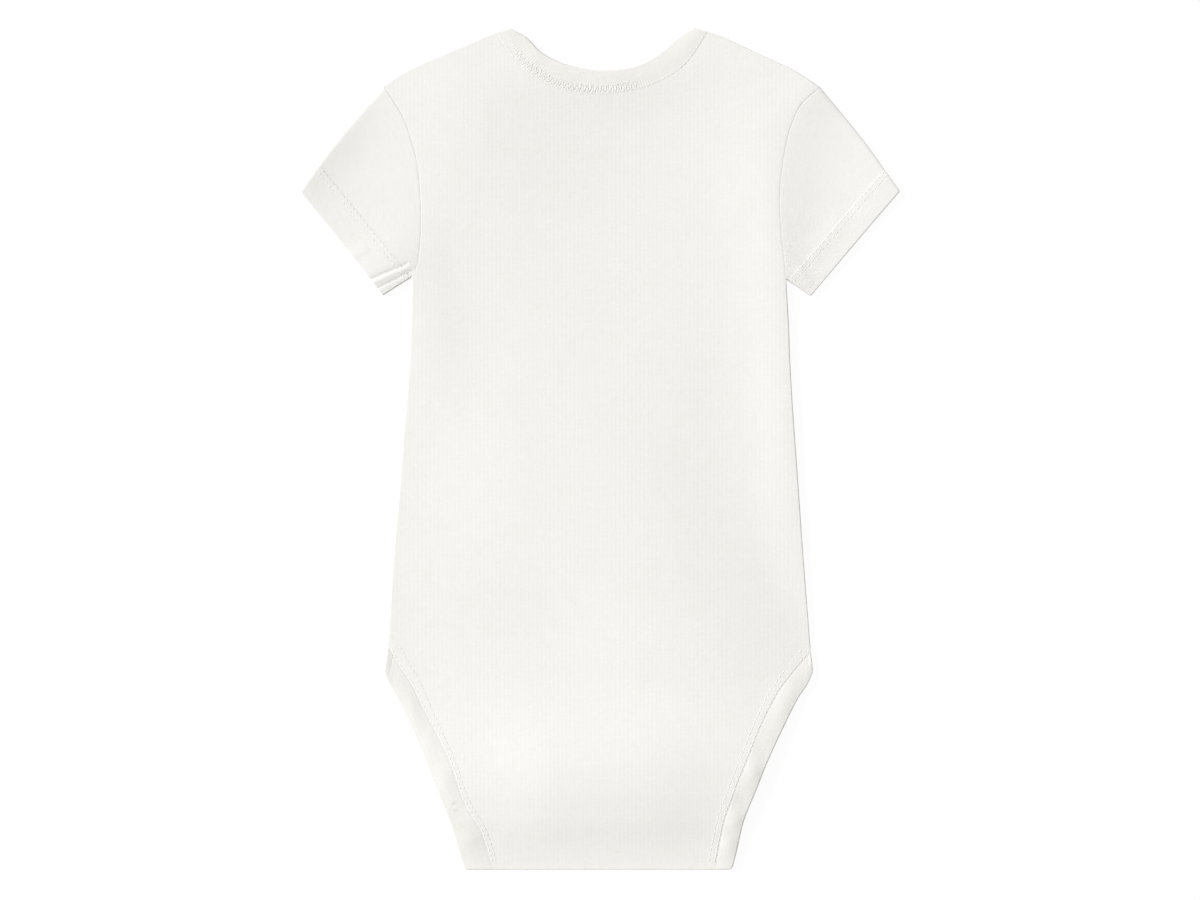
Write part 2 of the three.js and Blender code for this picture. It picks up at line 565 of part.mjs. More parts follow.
// A sleeve is a flattened tube: rings from the armhole to the hem, each round both layers.
function sleeve(side) {
  const top = sleeveTop[side];
  const corner = flat(hemCorner[side + "X"], hemCorner[side + "Y"]);
  const hemStart = top.getPoint(1);
  const tip = top.getPoint(0);
  const armpit = armhole[side].getPoint(0);
  const shapeOf = (curve) => (along, across) => {
    const seam = curve.getPointAt(1 - across);
    const place = seam.clone().lerp(hemStart.clone().lerp(corner, across), along);
    const bow = top.getPointAt(along).sub(tip.clone().lerp(hemStart, along));
    return place.addScaledVector(bow, 1 - across);
  };
  const upperAt = shapeOf(armhole[side]);
  const lowerAt = shapeOf(frontArmhole[side]);
  const topOut = outwardOf(tip, hemStart, flat(outwardX[side], 1));
  const underOut = outwardOf(armpit, corner, flat(0, -1));
  const length = tip.distanceTo(hemStart);
  const depth = side === "left" ? sleeveHem.depthLeft : sleeveHem.depthRight;
  const hemAt = 1 - depth / (length * 0.82);
  const first = (seamRoom + 0.1) / armpit.distanceTo(corner);
  const alongs = [first, 0.06, 0.18, 0.32, 0.46, hemAt - 0.02, hemAt + 0.02, 0.88, 1];
  const rings = alongs.map((along) => {
    const inHem = smoothstep(along, hemAt - 0.02, hemAt + 0.02);
    const height = lerp(bodyHeight, sleeveHem.height, inHem);
    const wall = lerp(jersey, sleeveHem.wall, inHem);
    const radius = height / 2;
    const width = upperAt(along, 0).distanceTo(upperAt(along, 1));
    const ring = [];
    const rollSteps = 3;
    const addRolled = (turn, underarm, at) => {
      const depthIn = (radius * (1 - Math.sin(turn))) / width;
      const place = at(along, underarm ? 1 - depthIn : depthIn);
      const outward = underarm ? underOut : topOut;
      const looks = new THREE.Vector3(outward.x, outward.y, 0).multiplyScalar(Math.sin(turn));
      looks.addScaledVector(up, Math.cos(turn));
      const point = new THREE.Vector3(place.x, place.y, radius + radius * Math.cos(turn));
      ring.push({ point, looks, thick: wall });
    };
    const addFlat = (across, at, sign) => {
      const place = at(along, across);
      const bulge = sleeveBulge * Math.sin(Math.PI * across) * Math.sin(Math.PI * along);
      const creases = side === "left" ? creaseRise(place) : 0;
      const height3 = sign > 0 ? height + bulge + creases : 0;
      const point = new THREE.Vector3(place.x, place.y, height3);
      ring.push({ point, looks: up.clone().multiplyScalar(sign), thick: wall });
    };
    for (let step = rollSteps; step > 0; step--) addRolled((step / rollSteps) * (Math.PI / 2), false, upperAt);
    for (const share of seamShares.arm.slice(2, -1).reverse()) addFlat(1 - share, upperAt, 1);
    for (let step = 1; step <= rollSteps; step++) addRolled((step / rollSteps) * (Math.PI / 2), true, upperAt);
    for (let step = rollSteps + 1; step <= 2 * rollSteps; step++) {
      addRolled((step / rollSteps) * (Math.PI / 2), true, lowerAt);
    }
    for (const share of seamShares.frontArm.slice(2, -1)) addFlat(1 - share, lowerAt, -1);
    for (let step = 2 * rollSteps; step > rollSteps; step--) {
      addRolled((step / rollSteps) * (Math.PI / 2), false, lowerAt);
    }
    return ring;
  });
  return clothWall(rings, { stationsClose: true });
}

// The ring of a snap grips the flap from below, and its stud holds the two flaps together.
function snapRing() {
  const bevel = 0.2;
  const profile = [
    flat(snap.ringInner, bevel),
    flat(snap.ringInner + bevel, 0),
    flat(snap.ringOuter - bevel, 0),
    flat(snap.ringOuter, bevel),
    flat(snap.ringOuter, snap.ringThick),
    flat(snap.ringInner, snap.ringThick),
    flat(snap.ringInner, bevel),
  ];
  return new THREE.LatheGeometry(profile, 16).rotateX(Math.PI / 2);
}

function snapStud() {
  const bevel = 0.25;
  const profile = [
    flat(0, 0),
    flat(snap.studRadius - bevel, 0),
    flat(snap.studRadius, bevel),
    flat(snap.studRadius, snap.studThick - bevel),
    flat(snap.studRadius - bevel, snap.studThick),
    flat(0, snap.studThick),
  ];
  return new THREE.LatheGeometry(profile, 16).rotateX(Math.PI / 2);
}

const jerseyMaterial = new THREE.MeshStandardMaterial({ color: 0xf4f3ef, roughness: 0.95, metalness: 0 });
const ribMaterial = new THREE.MeshStandardMaterial({ color: 0xf1f0eb, roughness: 0.95, metalness: 0 });
const snapMaterial = new THREE.MeshStandardMaterial({ color: 0xd9dadc, roughness: 0.35, metalness: 0.9 });

const bodysuit = new THREE.Group();

function addPiece(name, geometry, material, height = 0, x = 0, y = 0) {
  const mesh = new THREE.Mesh(geometry, material);
  mesh.name = name;
  mesh.position.set(x, y, height);
  bodysuit.add(mesh);
}

addPiece("back_panel", backPanel(), jerseyMaterial);
addPiece("front_panel", frontPanel(), jerseyMaterial);
addPiece("neck_band", neckBand(), ribMaterial);
for (const side of ["left", "right"]) {
  addPiece("sleeve_" + side, sleeve(side), jerseyMaterial);
  addPiece("leg_band_" + side, legBand(side), ribMaterial);
}
const snapY = (crotch.flapEnd + crotch.underEnd) / 2;
const studHeight = crotch.flapLift + jersey + gap;
for (let number = 1; number <= 3; number++) {
  const x = (number - 2) * snap.pitch;
  addPiece("snap_ring_" + number, snapRing(), snapMaterial, 0, x, snapY);
  addPiece("snap_stud_" + number, snapStud(), snapMaterial, studHeight, x, snapY);
}

export default bodysuit;
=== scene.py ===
import math

import bmesh
import bpy
import numpy as np
from mathutils import Matrix, Vector
from mathutils.bvhtree import BVHTree


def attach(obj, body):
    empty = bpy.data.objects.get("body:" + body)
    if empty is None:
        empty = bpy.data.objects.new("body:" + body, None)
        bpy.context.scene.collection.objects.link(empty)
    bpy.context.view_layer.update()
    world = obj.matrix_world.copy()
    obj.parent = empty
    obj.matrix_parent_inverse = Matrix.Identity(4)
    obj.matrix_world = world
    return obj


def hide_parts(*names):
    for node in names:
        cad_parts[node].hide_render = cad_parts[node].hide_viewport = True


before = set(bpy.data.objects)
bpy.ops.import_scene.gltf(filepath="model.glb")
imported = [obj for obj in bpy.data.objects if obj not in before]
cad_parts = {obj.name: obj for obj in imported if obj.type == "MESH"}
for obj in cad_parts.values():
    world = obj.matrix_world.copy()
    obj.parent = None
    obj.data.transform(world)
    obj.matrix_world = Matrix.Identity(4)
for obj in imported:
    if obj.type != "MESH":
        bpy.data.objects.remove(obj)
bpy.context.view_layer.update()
mm = 0.001  # shapes are worked out in millimetres and written in metres
bodyName = "root"

# Camera, light and floor
view = {"frameWide": 0.600, "centreY": -0.0004, "lens": 120, "sensor": 36, "outlineHeight": 0.002}
lights = {
    "key": {"height": 31, "turn": 20, "power": 3.62, "spread": 24, "tint": (0.985, 1.0, 1.03)},  # degrees above -X
    "world": {"strength": 0.48, "tint": (1.0, 0.978, 0.94)},
    "floor": {"paint": (0.62, 0.62, 0.62), "white": 1.1, "share": 0.85, "paintedEdgeShade": 0.0004},
}


def makeCamera():
    camera = bpy.data.objects.new("camera", bpy.data.cameras.new("camera"))
    bpy.context.scene.collection.objects.link(camera)
    camera.data.lens, camera.data.sensor_width = view["lens"], view["sensor"]
    away = view["frameWide"] * view["lens"] / view["sensor"] + view["outlineHeight"]
    camera.location = (0, view["centreY"], away)
    camera.data.clip_end = 20
    bpy.context.scene.camera = camera


def makeKey(spec):
    lamp = bpy.data.lights.new("key", "SUN")
    lamp.energy, lamp.color, lamp.angle = spec["power"], spec["tint"], math.radians(spec["spread"])
    holder = bpy.data.objects.new("key", lamp)
    height, turn = math.radians(spec["height"]), math.radians(spec["turn"])
    toLight = Vector((-math.cos(turn) * math.cos(height), math.sin(turn) * math.cos(height), math.sin(height)))
    holder.location = toLight * 3
    holder.rotation_euler = (-toLight).to_track_quat("-Z", "Y").to_euler()
    bpy.context.scene.collection.objects.link(holder)


# The floor lights the cloth as pale grey card does, and the camera sees it glowing nearly white, with a faint shadow.
# Ambient occlusion darkens that glow beside the cloth: a thin painted contact shadow.
def floorPaint(spec):
    paint = bpy.data.materials.new("floorPaint")
    paint.use_nodes = True
    tree = paint.node_tree
    shader = tree.nodes["Principled BSDF"]
    shader.inputs["Base Color"].default_value = (*spec["paint"], 1)
    shader.inputs["Roughness"].default_value = 0.9
    shader.inputs["Specular IOR Level"].default_value = 0.1
    glow = tree.nodes.new("ShaderNodeEmission")
    glow.inputs["Strength"].default_value = spec["white"]
    # painted shade: ambient occlusion darkens the floor's camera-seen glow in a thin line beside the cloth
    shade = tree.nodes.new("ShaderNodeAmbientOcclusion")
    shade.inputs["Distance"].default_value = spec["paintedEdgeShade"]
    tree.links.new(shade.outputs["Color"], glow.inputs["Color"])
    seen = tree.nodes.new("ShaderNodeMath")
    seen.operation = "MULTIPLY"
    seen.inputs[1].default_value = spec["share"]
    mixed = tree.nodes.new("ShaderNodeMixShader")
    tree.links.new(tree.nodes.new("ShaderNodeLightPath").outputs["Is Camera Ray"], seen.inputs[0])
    tree.links.new(seen.outputs[0], mixed.inputs[0])
    tree.links.new(shader.outputs[0], mixed.inputs[1])
    tree.links.new(glow.outputs[0], mixed.inputs[2])
    tree.links.new(mixed.outputs[0], tree.nodes["Material Output"].inputs["Surface"])
    return paint


def makeStage():
    world = bpy.data.worlds.new("studio")
    world.use_nodes = True
    sky = world.node_tree.nodes["Background"].inputs
    sky["Color"].default_value = (*lights["world"]["tint"], 1)
    sky["Strength"].default_value = lights["world"]["strength"]
    bpy.context.scene.world = world
    bm = bmesh.new()
    bmesh.ops.create_grid(bm, x_segments=1, y_segments=1, size=4)
    bmesh.ops.translate(bm, verts=bm.verts, vec=(0, 0, -0.15 * mm))
    floor = bpy.data.objects.new("floor", bpy.data.meshes.new("floor"))
    bm.to_mesh(floor.data)
    bm.free()
    bpy.context.scene.collection.objects.link(floor)
    floor.data.materials.append(floorPaint(lights["floor"]))


makeCamera()
makeKey(lights["key"])
makeStage()
bpy.context.scene.view_settings.view_transform = "Standard"
print("stage set")

# Finishes
yarn = {
    "jerseyLight": (0.876, 0.867, 0.838),
    "jerseyDark": (0.828, 0.815, 0.778),
    "ribLight": (0.878, 0.865, 0.833),
    "ribDark": (0.820, 0.802, 0.762),
    "thread": (0.93, 0.922, 0.9),
    "threadDark": (0.87, 0.86, 0.835),
    "metal": (0.72, 0.71, 0.69),
}


def addNode(tree, kind, sockets=None, **options):
    node = tree.nodes.new(kind)
    for name, value in options.items():
        setattr(node, name, value)
    for name, value in (sockets or {}).items():
        if isinstance(value, bpy.types.NodeSocket):
            tree.links.new(value, node.inputs[name])
        else:
            node.inputs[name].default_value = value
    return node


def maths(tree, operation, first, second=0.0):
    return addNode(tree, "ShaderNodeMath", {0: first, 1: second}, operation=operation).outputs[0]


# Loops of plain knit: columns of arches, with uneven yarn and faint streaks along the rows of loops.
def knitGroup():
    group = bpy.data.node_groups.new("knitLoops", "ShaderNodeTree")
    face = group.interface
    face.new_socket("Coordinates", in_out="INPUT", socket_type="NodeSocketVector")
    for name, start in {"Wale": 0.0007, "Course": 0.0006, "Loops": 0.35, "Slub": 0.5, "Blots": 0.4}.items():
        face.new_socket(name, in_out="INPUT", socket_type="NodeSocketFloat").default_value = start
    for name in ("Light Yarn", "Dark Yarn"):
        face.new_socket(name, in_out="INPUT", socket_type="NodeSocketColor")
    face.new_socket("Color", in_out="OUTPUT", socket_type="NodeSocketColor")
    face.new_socket("Height", in_out="OUTPUT", socket_type="NodeSocketFloat")
    face.new_socket("Roughness", in_out="OUTPUT", socket_type="NodeSocketFloat")
    given = group.nodes.new("NodeGroupInput").outputs
    parts = addNode(group, "ShaderNodeSeparateXYZ", {0: given["Coordinates"]}).outputs
    across = maths(group, "DIVIDE", parts["X"], given["Wale"])
    along = maths(group, "DIVIDE", parts["Y"], given["Course"])
    fromMiddle = maths(group, "ABSOLUTE", maths(group, "SUBTRACT", maths(group, "FRACT", across), 0.5))
    arch = maths(group, "SUBTRACT", 1.0, maths(group, "MULTIPLY", maths(group, "MULTIPLY", fromMiddle, fromMiddle), 4.0))
    phase = maths(group, "MULTIPLY", maths(group, "ADD", along, fromMiddle), 2 * math.pi)
    wave = maths(group, "MULTIPLY_ADD", maths(group, "SINE", phase), 0.5)
    wave.node.inputs[2].default_value = 0.5
    loops = maths(group, "MULTIPLY", arch, maths(group, "ADD", wave, 0.6))

    def noise(stretch, detail, roughness):
        vector = addNode(group, "ShaderNodeVectorMath", {0: given["Coordinates"], 1: stretch}, operation="MULTIPLY")
        settings = {"Vector": vector.outputs[0], "Scale": 1.0, "Detail": detail, "Roughness": roughness}
        return addNode(group, "ShaderNodeTexNoise", settings).outputs[0]

    streak = noise((190, 640, 1), 3.0, 0.6)
    slub = noise((420, 620, 1), 2.0, 0.55)
    blot = noise((34, 26, 1), 2.0, 0.5)
    uneven = maths(group, "ADD", maths(group, "MULTIPLY", streak, 0.55), maths(group, "MULTIPLY", slub, 0.45))
    low = maths(group, "MULTIPLY", loops, given["Loops"])
    height = maths(group, "ADD", low, maths(group, "MULTIPLY", uneven, given["Slub"]))
    tone = maths(group, "MULTIPLY_ADD", maths(group, "SUBTRACT", uneven, 0.5), 1.5)
    tone.node.inputs[2].default_value = 0.5
    patch = maths(group, "MULTIPLY", maths(group, "SUBTRACT", blot, 0.5), given["Blots"])
    share = addNode(group, "ShaderNodeClamp", {0: maths(group, "ADD", tone, patch)}).outputs[0]
    colour = addNode(group, "ShaderNodeMix", data_type="RGBA")
    group.links.new(share, colour.inputs["Factor"])
    group.links.new(given["Dark Yarn"], colour.inputs[6])
    group.links.new(given["Light Yarn"], colour.inputs[7])
    warm = maths(group, "MULTIPLY", maths(group, "SUBTRACT", noise((120, 105, 1), 4.0, 0.65), 0.44), 4.0)
    warmShare = addNode(group, "ShaderNodeClamp", {0: warm}).outputs[0]
    tinted = addNode(group, "ShaderNodeMix", data_type="RGBA", blend_type="MULTIPLY")
    group.links.new(maths(group, "MULTIPLY", warmShare, given["Blots"]), tinted.inputs["Factor"])
    group.links.new(colour.outputs[2], tinted.inputs[6])
    tinted.inputs[7].default_value = (1.0, 0.975, 0.965, 1)
    rough = maths(group, "MULTIPLY_ADD", share, -0.08)
    rough.node.inputs[2].default_value = 0.95
    out = group.nodes.new("NodeGroupOutput").inputs
    group.links.new(tinted.outputs[2], out["Color"])
    group.links.new(height, out["Height"])
    group.links.new(rough, out["Roughness"])
    return group


knitLoops = knitGroup()


def clothFinish(name, light, dark, values, bumpDepth):
    finish = bpy.data.materials.new(name)
    finish.use_nodes = True
    tree = finish.node_tree
    shader = tree.nodes["Principled BSDF"]
    knit = tree.nodes.new("ShaderNodeGroup")
    knit.node_tree = knitLoops
    tree.links.new(addNode(tree, "ShaderNodeUVMap", uv_map="cloth").outputs[0], knit.inputs["Coordinates"])
    for label, value in values.items():
        knit.inputs[label].default_value = value
    knit.inputs["Light Yarn"].default_value = (*light, 1)
    knit.inputs["Dark Yarn"].default_value = (*dark, 1)
    bump = addNode(tree, "ShaderNodeBump", {"Height": knit.outputs["Height"], "Strength": 0.7, "Distance": bumpDepth})
    tree.links.new(knit.outputs["Color"], shader.inputs["Base Color"])
    tree.links.new(knit.outputs["Roughness"], shader.inputs["Roughness"])
    tree.links.new(bump.outputs[0], shader.inputs["Normal"])
    shader.inputs["Specular IOR Level"].default_value = 0.15
    shader.inputs["Sheen Weight"].default_value = 0.12
    shader.inputs["Sheen Roughness"].default_value = 0.6
    return finish


jerseyFinish = clothFinish(
    "jersey", yarn["jerseyLight"], yarn["jerseyDark"],
    {"Wale": 0.00066, "Course": 0.00052, "Loops": 0.3, "Slub": 0.75, "Blots": 0.5}, 0.00012,
)
ribFinish = clothFinish(
    "rib", yarn["ribLight"], yarn["ribDark"],
    {"Wale": 0.0006, "Course": 0.0005, "Loops": 0.35, "Slub": 0.5, "Blots": 0.35}, 0.0001,
)
threadFinish = clothFinish(
    "thread", yarn["thread"], yarn["threadDark"],
    {"Wale": 0.00018, "Course": 0.0002, "Loops": 0.5, "Slub": 0.4, "Blots": 0.0}, 0.00005,
)


def metalFinish():
    finish = bpy.data.materials.new("satinNickel")
    finish.use_nodes = True
    tree = finish.node_tree
    shader = tree.nodes["Principled BSDF"]
    place = addNode(tree, "ShaderNodeTexCoord").outputs["Object"]
    grain = addNode(tree, "ShaderNodeTexNoise", {"Vector": place, "Scale": 2600.0, "Detail": 2.0}).outputs[0]
    rough = addNode(tree, "ShaderNodeMapRange", {"Value": grain, "To Min": 0.24, "To Max": 0.4}).outputs[0]
    bump = addNode(tree, "ShaderNodeBump", {"Height": grain, "Strength": 0.25, "Distance": 0.00002}).outputs[0]
    tree.links.new(rough, shader.inputs["Roughness"])
    tree.links.new(bump, shader.inputs["Normal"])
    shader.inputs["Base Color"].default_value = (*yarn["metal"], 1)
    shader.inputs["Metallic"].default_value = 1
    return finish


snapFinish = metalFinish()
print("finishes made")

# The cut: seam lines and edges of the garment as it lies, (left point, right point)
cut = {"gap": 0.3, "seamRoom": 0.012, "bodyHeight": 3.35, "seamHeight": 1.6, "jersey": 1.0, "legRib": 1.6, "neckRib": 1.7}
crotch = {
    "foldY": -208.47, "flapEnd": -190.6, "underEnd": -168.6, "bandLift": 1.9, "flapLift": 1.1, "underLift": 3.7,
    "backLift": 2.65, "flatHalf": 22, "closedHalf": 62, "flapRiseFrom": -152, "flapRiseTo": -169, "seatRun": 56,
    "foldFrom": 8, "foldTo": 38, "stackRun": 24,
}
legSeamTable = [
    ((-106, -98), (105.4, -101.3)), ((-101.2, -107.3), (99.9, -107.7)), ((-94.7, -116.9), (89.7, -120.7)),
    ((-88.2, -129.9), (81.4, -136.4)), ((-78, -149.4), (74.9, -152.1)), ((-73.4, -160.4), (70.3, -163.2)),
    ((-67.9, -176.2), (66.5, -173.4)), ((-59.4, -190.9), (62, -186.4)),
    ((-54, crotch["foldY"]), (57.8, crotch["foldY"])),
]
legEdgeTable = [
    ((-108, -111.4), (106.5, -111.4)), ((-105, -117.9), (103.5, -117.9)), ((-101, -125.4), (98.5, -125.4)),
    ((-94, -140.4), (91, -140.4)), ((-87.5, -155.4), (84, -155.4)), ((-82, -170.4), (78, -170.4)),
    ((-75.5, -185.4), (72, -185.4)), ((-71, -200.4), (68.5, -200.4)),
    ((-68.5, crotch["foldY"]), (66.5, crotch["foldY"])),
]
sideTable = [
    ((-106, -98), (105.4, -101.3)), ((-103.4, -55), (101.8, -55)), ((-100.6, -22), (99.5, -22)),
    ((-98.2, 10), (97.2, 10)), ((-95.8, 38), (95.4, 38)), ((-94.6, 65), (94.3, 65)), ((-94.2, 86.1), (93, 85.1)),
]
armholeTable = [
    ((-94.2, 86.1), (93, 85.1)), ((-91, 94), (91.6, 98)), ((-89.5, 111.1), (90.3, 111.1)), ((-90, 127.6), (89.6, 126)),
    ((-91.6, 143.6), (91.4, 144)), ((-95, 156.6), (94.9, 160.2)), ((-99.7, 168.2), (100.6, 172.6)),
    ((-108.2, 181.4), (110, 180.9)),
]
shoulderTable = [
    ((-108.2, 181.4), (110, 180.9)), ((-95.5, 189.6), (96.5, 189.6)), ((-77, 197.6), (79.5, 197.6)),
    ((-58, 205.8), (62.5, 205.6)), ((-52.5, 208.1), (54, 208.6)),
]
sleeveTopTable = [
    ((-108.2, 181.4), (110, 180.9)), ((-120.5, 167.6), (121.5, 167.1)), ((-133, 152.4), (133, 152.6)),
    ((-143.5, 138.2), (143.5, 138)), ((-150.3, 128.4), (150.3, 128.6)),
]
hemCorner = {"left": (-108.4, 76.9), "right": (105.2, 76.6)}
neckSeamLine = [
    (-52.5, 208.1), (-43.5, 195.1), (-33.2, 186.7), (-25.5, 182.1), (-14, 178.3), (1.2, 177), (16.5, 179.1),
    (28, 182.6), (39.5, 189.1), (47.2, 197.4), (54, 208.6),
]
neckEdgeLine = [
    (-44.7, 210.3), (-36.5, 205.6), (-29.5, 198.6), (-20.5, 193.6), (-10, 190.6), (1, 189.3), (13, 190.6),
    (22.5, 193.6), (31, 199), (38.5, 205.8), (47, 210.6),
]
frontCut = {
    "neckSeamDrop": 57, "neckEdgeDrop": 48, "neckRoundness": 1.9, "armholeDeeper": 3,
    "flap": {"left": (-55.5, -66), "right": (57.5, 67)},
}
sides = {"left": -1, "right": 1}


def smooth(value, low, high):
    t = np.clip((np.asarray(value, float) - low) / (high - low), 0, 1)
    return t * t * (3 - 2 * t)


def blend(low, high, share):
    return low + (high - low) * share


# A smooth line through points, which gives points at shares of its length.
def curveOf(points, steps=24):
    points = np.array(points, float)
    held = np.vstack([points[:1], points, points[-1:]])
    t = np.linspace(0, 1, steps, endpoint=False)[:, None]
    line = []
    for before, start, end, after in zip(held, held[1:], held[2:], held[3:]):
        leave, arrive = (end - before) / 2, (after - start) / 2
        bent = (2 * start - 2 * end + leave + arrive) * t**3
        line.append(bent + (3 * end - 3 * start - 2 * leave - arrive) * t**2 + leave * t + start)
    line = np.vstack([*line, points[-1:]])
    run = np.concatenate([[0], np.cumsum(np.linalg.norm(np.diff(line, axis=0), axis=1))])
    return {"line": line, "run": run / run[-1], "length": run[-1]}


def curveAt(curve, share):
    return np.stack([np.interp(share, curve["run"], curve["line"][:, k]) for k in range(curve["line"].shape[1])], -1)


def bothSides(table):
    return {side: curveOf([row[k] for row in table]) for k, side in enumerate(sides)}


# Distance from each place to a line, and how far along the line its nearest point is.
def distanceTo(places, curve, thin=4):
    line, run = curve["line"][::thin], curve["run"][::thin]
    starts, steps = line[:-1], np.diff(line, axis=0)
    flatPlaces = places.reshape(-1, 2)
    best, along = np.full(len(flatPlaces), 1e9), np.zeros(len(flatPlaces))
    for k, (start, step) in enumerate(zip(starts, steps)):
        t = np.clip((flatPlaces - start) @ step / (step @ step), 0, 1)
        away = np.linalg.norm(flatPlaces - start - t[:, None] * step, axis=1)
        nearer = away < best
        best = np.where(nearer, away, best)
        along = np.where(nearer, run[k] + t * (run[k + 1] - run[k]), along)
    return best.reshape(places.shape[:-1]), along.reshape(places.shape[:-1])


legSeam, legEdge = bothSides(legSeamTable), bothSides(legEdgeTable)
sideSeam, armhole = bothSides(sideTable), bothSides(armholeTable)
shoulder, sleeveTop = bothSides(shoulderTable), bothSides(sleeveTopTable)
backNeck = {"seam": curveOf(neckSeamLine), "edge": curveOf(neckEdgeLine)}


def frontLegLine(start, end):
    along = np.linspace(0, 1, 9)
    turn = along * math.pi / 2
    x = blend(start[0], end[0], (along + np.sin(turn)) / 2)
    y = blend(start[1], end[1], (along + 1 - np.cos(turn)) / 2)
    return curveOf(np.stack([x, y], -1))


def frontNeckLine(curve, drop):
    across = np.linspace(0, 1, 17)
    ends = curve["line"][0], curve["line"][-1]
    hang = drop * (1 - np.abs(2 * across - 1) ** frontCut["neckRoundness"])
    return curveOf(np.stack([blend(ends[0][0], ends[1][0], across), blend(ends[0][1], ends[1][1], across) - hang], -1))


frontLegSeam, frontLegEdge, frontArmhole = {}, {}, {}
for number, (sideName, outX) in enumerate(sides.items()):
    corner = frontCut["flap"][sideName]
    frontLegSeam[sideName] = frontLegLine(legSeam[sideName]["line"][0], (corner[0], crotch["flapEnd"]))
    frontLegEdge[sideName] = frontLegLine(legEdge[sideName]["line"][0], (corner[1], crotch["flapEnd"]))
    deeper = frontCut["armholeDeeper"] * np.sin(np.linspace(0, math.pi, len(armholeTable)))
    frontArmhole[sideName] = curveOf([(row[number][0] - outX * d, row[number][1]) for row, d in zip(armholeTable, deeper)])
frontNeck = {
    "seam": frontNeckLine(backNeck["seam"], frontCut["neckSeamDrop"]),
    "edge": frontNeckLine(backNeck["edge"], frontCut["neckEdgeDrop"]),
}

# Heights of the layers
# Soft folds of the whole upper face, listed: x, y, the turn of the long side from X, half sizes and rise.
softFolds = [
    # the two sides: a ridge under each armhole, and a trough inside the right one
    (-86, 70, 95, 40, 14, 0.6),
    (92, 40, 93, 120, 13, 0.75),
    (60, 60, 95, 90, 18, -0.3),
    # the belly: one long crown from the chest to the right hip, and a small one on its left
    (20, -50, 115, 100, 45, 2.1),
    (-45, -15, 100, 45, 30, 0.8),
    # the hips, lower than the belly
    (-110, -75, 100, 90, 40, -1.3),
    (105, -95, 115, 45, 17, -1.2),
    # the seat: a crest across it, higher on the left, above the crotch fold
    (5, -165, 0, 85, 35, 2.2),
    (-45, -160, 0, 40, 20, 0.4),
    (-20, -84, 0, 50, 18, -0.5),
    (20, -205, 0, 60, 14, 0.4),
    # the chest: a swelling by the left shoulder, a hollow right of the middle, a rise under the neck band
    (-70, 160, 90, 60, 40, 1.3),
    (30, 150, 90, 60, 45, -1.1),
    (0, 190, 0, 50, 17, 1.4),
    # the sleeves
    (-145, 150, 50, 35, 16, 1.9),
    (-116, 82, 45, 30, 15, 1.2),
    (115, 130, 80, 45, 20, -0.8),
    (104, 178, 45, 16, 12, 0.6),
]


def foldRise(x, y, folds):
    rise = np.zeros_like(x)
    for placeX, placeY, turned, length, width, height in folds:
        turn = math.radians(turned)
        along = (x - placeX) * math.cos(turn) + (y - placeY) * math.sin(turn)
        across = (y - placeY) * math.cos(turn) - (x - placeX) * math.sin(turn)
        rise = rise + height * np.exp(-((along / length) ** 2) - (across / width) ** 2)
    return rise


def laidRise(x, y):
    fade = smooth(y, crotch["foldY"] + crotch["foldFrom"], crotch["foldY"] + crotch["foldTo"])
    return foldRise(x, y, softFolds) * fade


def riseAt(place):
    return float(laidRise(*np.array(place, float)[:, None])[0])


# A pressed fold keeps flat until just before its edge.
def foldDepth(turn):
    return np.abs(np.sin(turn)) ** 0.15


def foldTurns():
    quarter = [0.0005, 0.02, 0.08, 0.18, 0.3, 0.45, 0.65, 0.9, 1.2]
    return np.array([*(math.pi - np.array(quarter)), math.pi / 2, *quarter[::-1]])


def nearSnaps(x):
    return 1 - smooth(np.abs(x), crotch["flatHalf"], crotch["closedHalf"])


def stackStart(y):
    t = np.clip((y - crotch["foldY"]) / crotch["stackRun"], 0, 1)
    return blend(t, smooth(t, 0, 1), 0.6)


def stackEnd(y):
    return 1 - smooth(y, crotch["underEnd"] + 2, crotch["underEnd"] + crotch["seatRun"])


def backStack(x, y):
    return stackStart(y) * stackEnd(y) * blend(crotch["bandLift"], crotch["backLift"], nearSnaps(x))


def underStack(x, y):
    return stackStart(y) * blend(crotch["bandLift"], crotch["underLift"], nearSnaps(x))


def flapStack(x, y):
    return (1 - smooth(y, crotch["flapRiseTo"], crotch["flapRiseFrom"])) * crotch["flapLift"] * nearSnaps(x)


# Making cloth
# A piece of cloth from rows of places. Rows or columns that close on themselves come with the first one repeated.
def clothMesh(name, places, lay, closed=False, flip=False, wall=0.0):
    rows, columns = places.shape[:2]
    bm = bmesh.new()
    bmesh.ops.create_grid(bm, x_segments=columns - 1, y_segments=rows - 1, size=0.5)
    lines = np.array([vert.co for vert in bm.verts])
    i = np.rint((lines[:, 0] + 0.5) * (columns - 1)).astype(int)
    j = np.rint((lines[:, 1] + 0.5) * (rows - 1)).astype(int)
    laid = lay[j, i] * mm
    uvLayer = bm.loops.layers.uv.new("cloth")
    for face in bm.faces:
        face.smooth = True
        for loop in face.loops:
            loop[uvLayer].uv = laid[loop.vert.index]
    for vert, place in zip(bm.verts, places[j, i] * mm):
        vert.co = place
    if closed:
        bmesh.ops.remove_doubles(bm, verts=bm.verts, dist=1e-6)
        ends = [edge for edge in bm.edges if edge.is_boundary]
        if ends:
            bmesh.ops.holes_fill(bm, edges=ends)
        bmesh.ops.recalc_face_normals(bm, faces=bm.faces)
    elif flip:
        bmesh.ops.reverse_faces(bm, faces=bm.faces)
    if wall:
        bm.normal_update()
        bmesh.ops.solidify(bm, geom=bm.faces[:], thickness=wall * mm)
    for edge in bm.edges:
        edge.smooth = edge.calc_face_angle(0) < 0.8
    piece = bpy.data.objects.new(name, bpy.data.meshes.new(name))
    bm.to_mesh(piece.data)
    bm.free()
    bpy.context.scene.collection.objects.link(piece)
    return piece


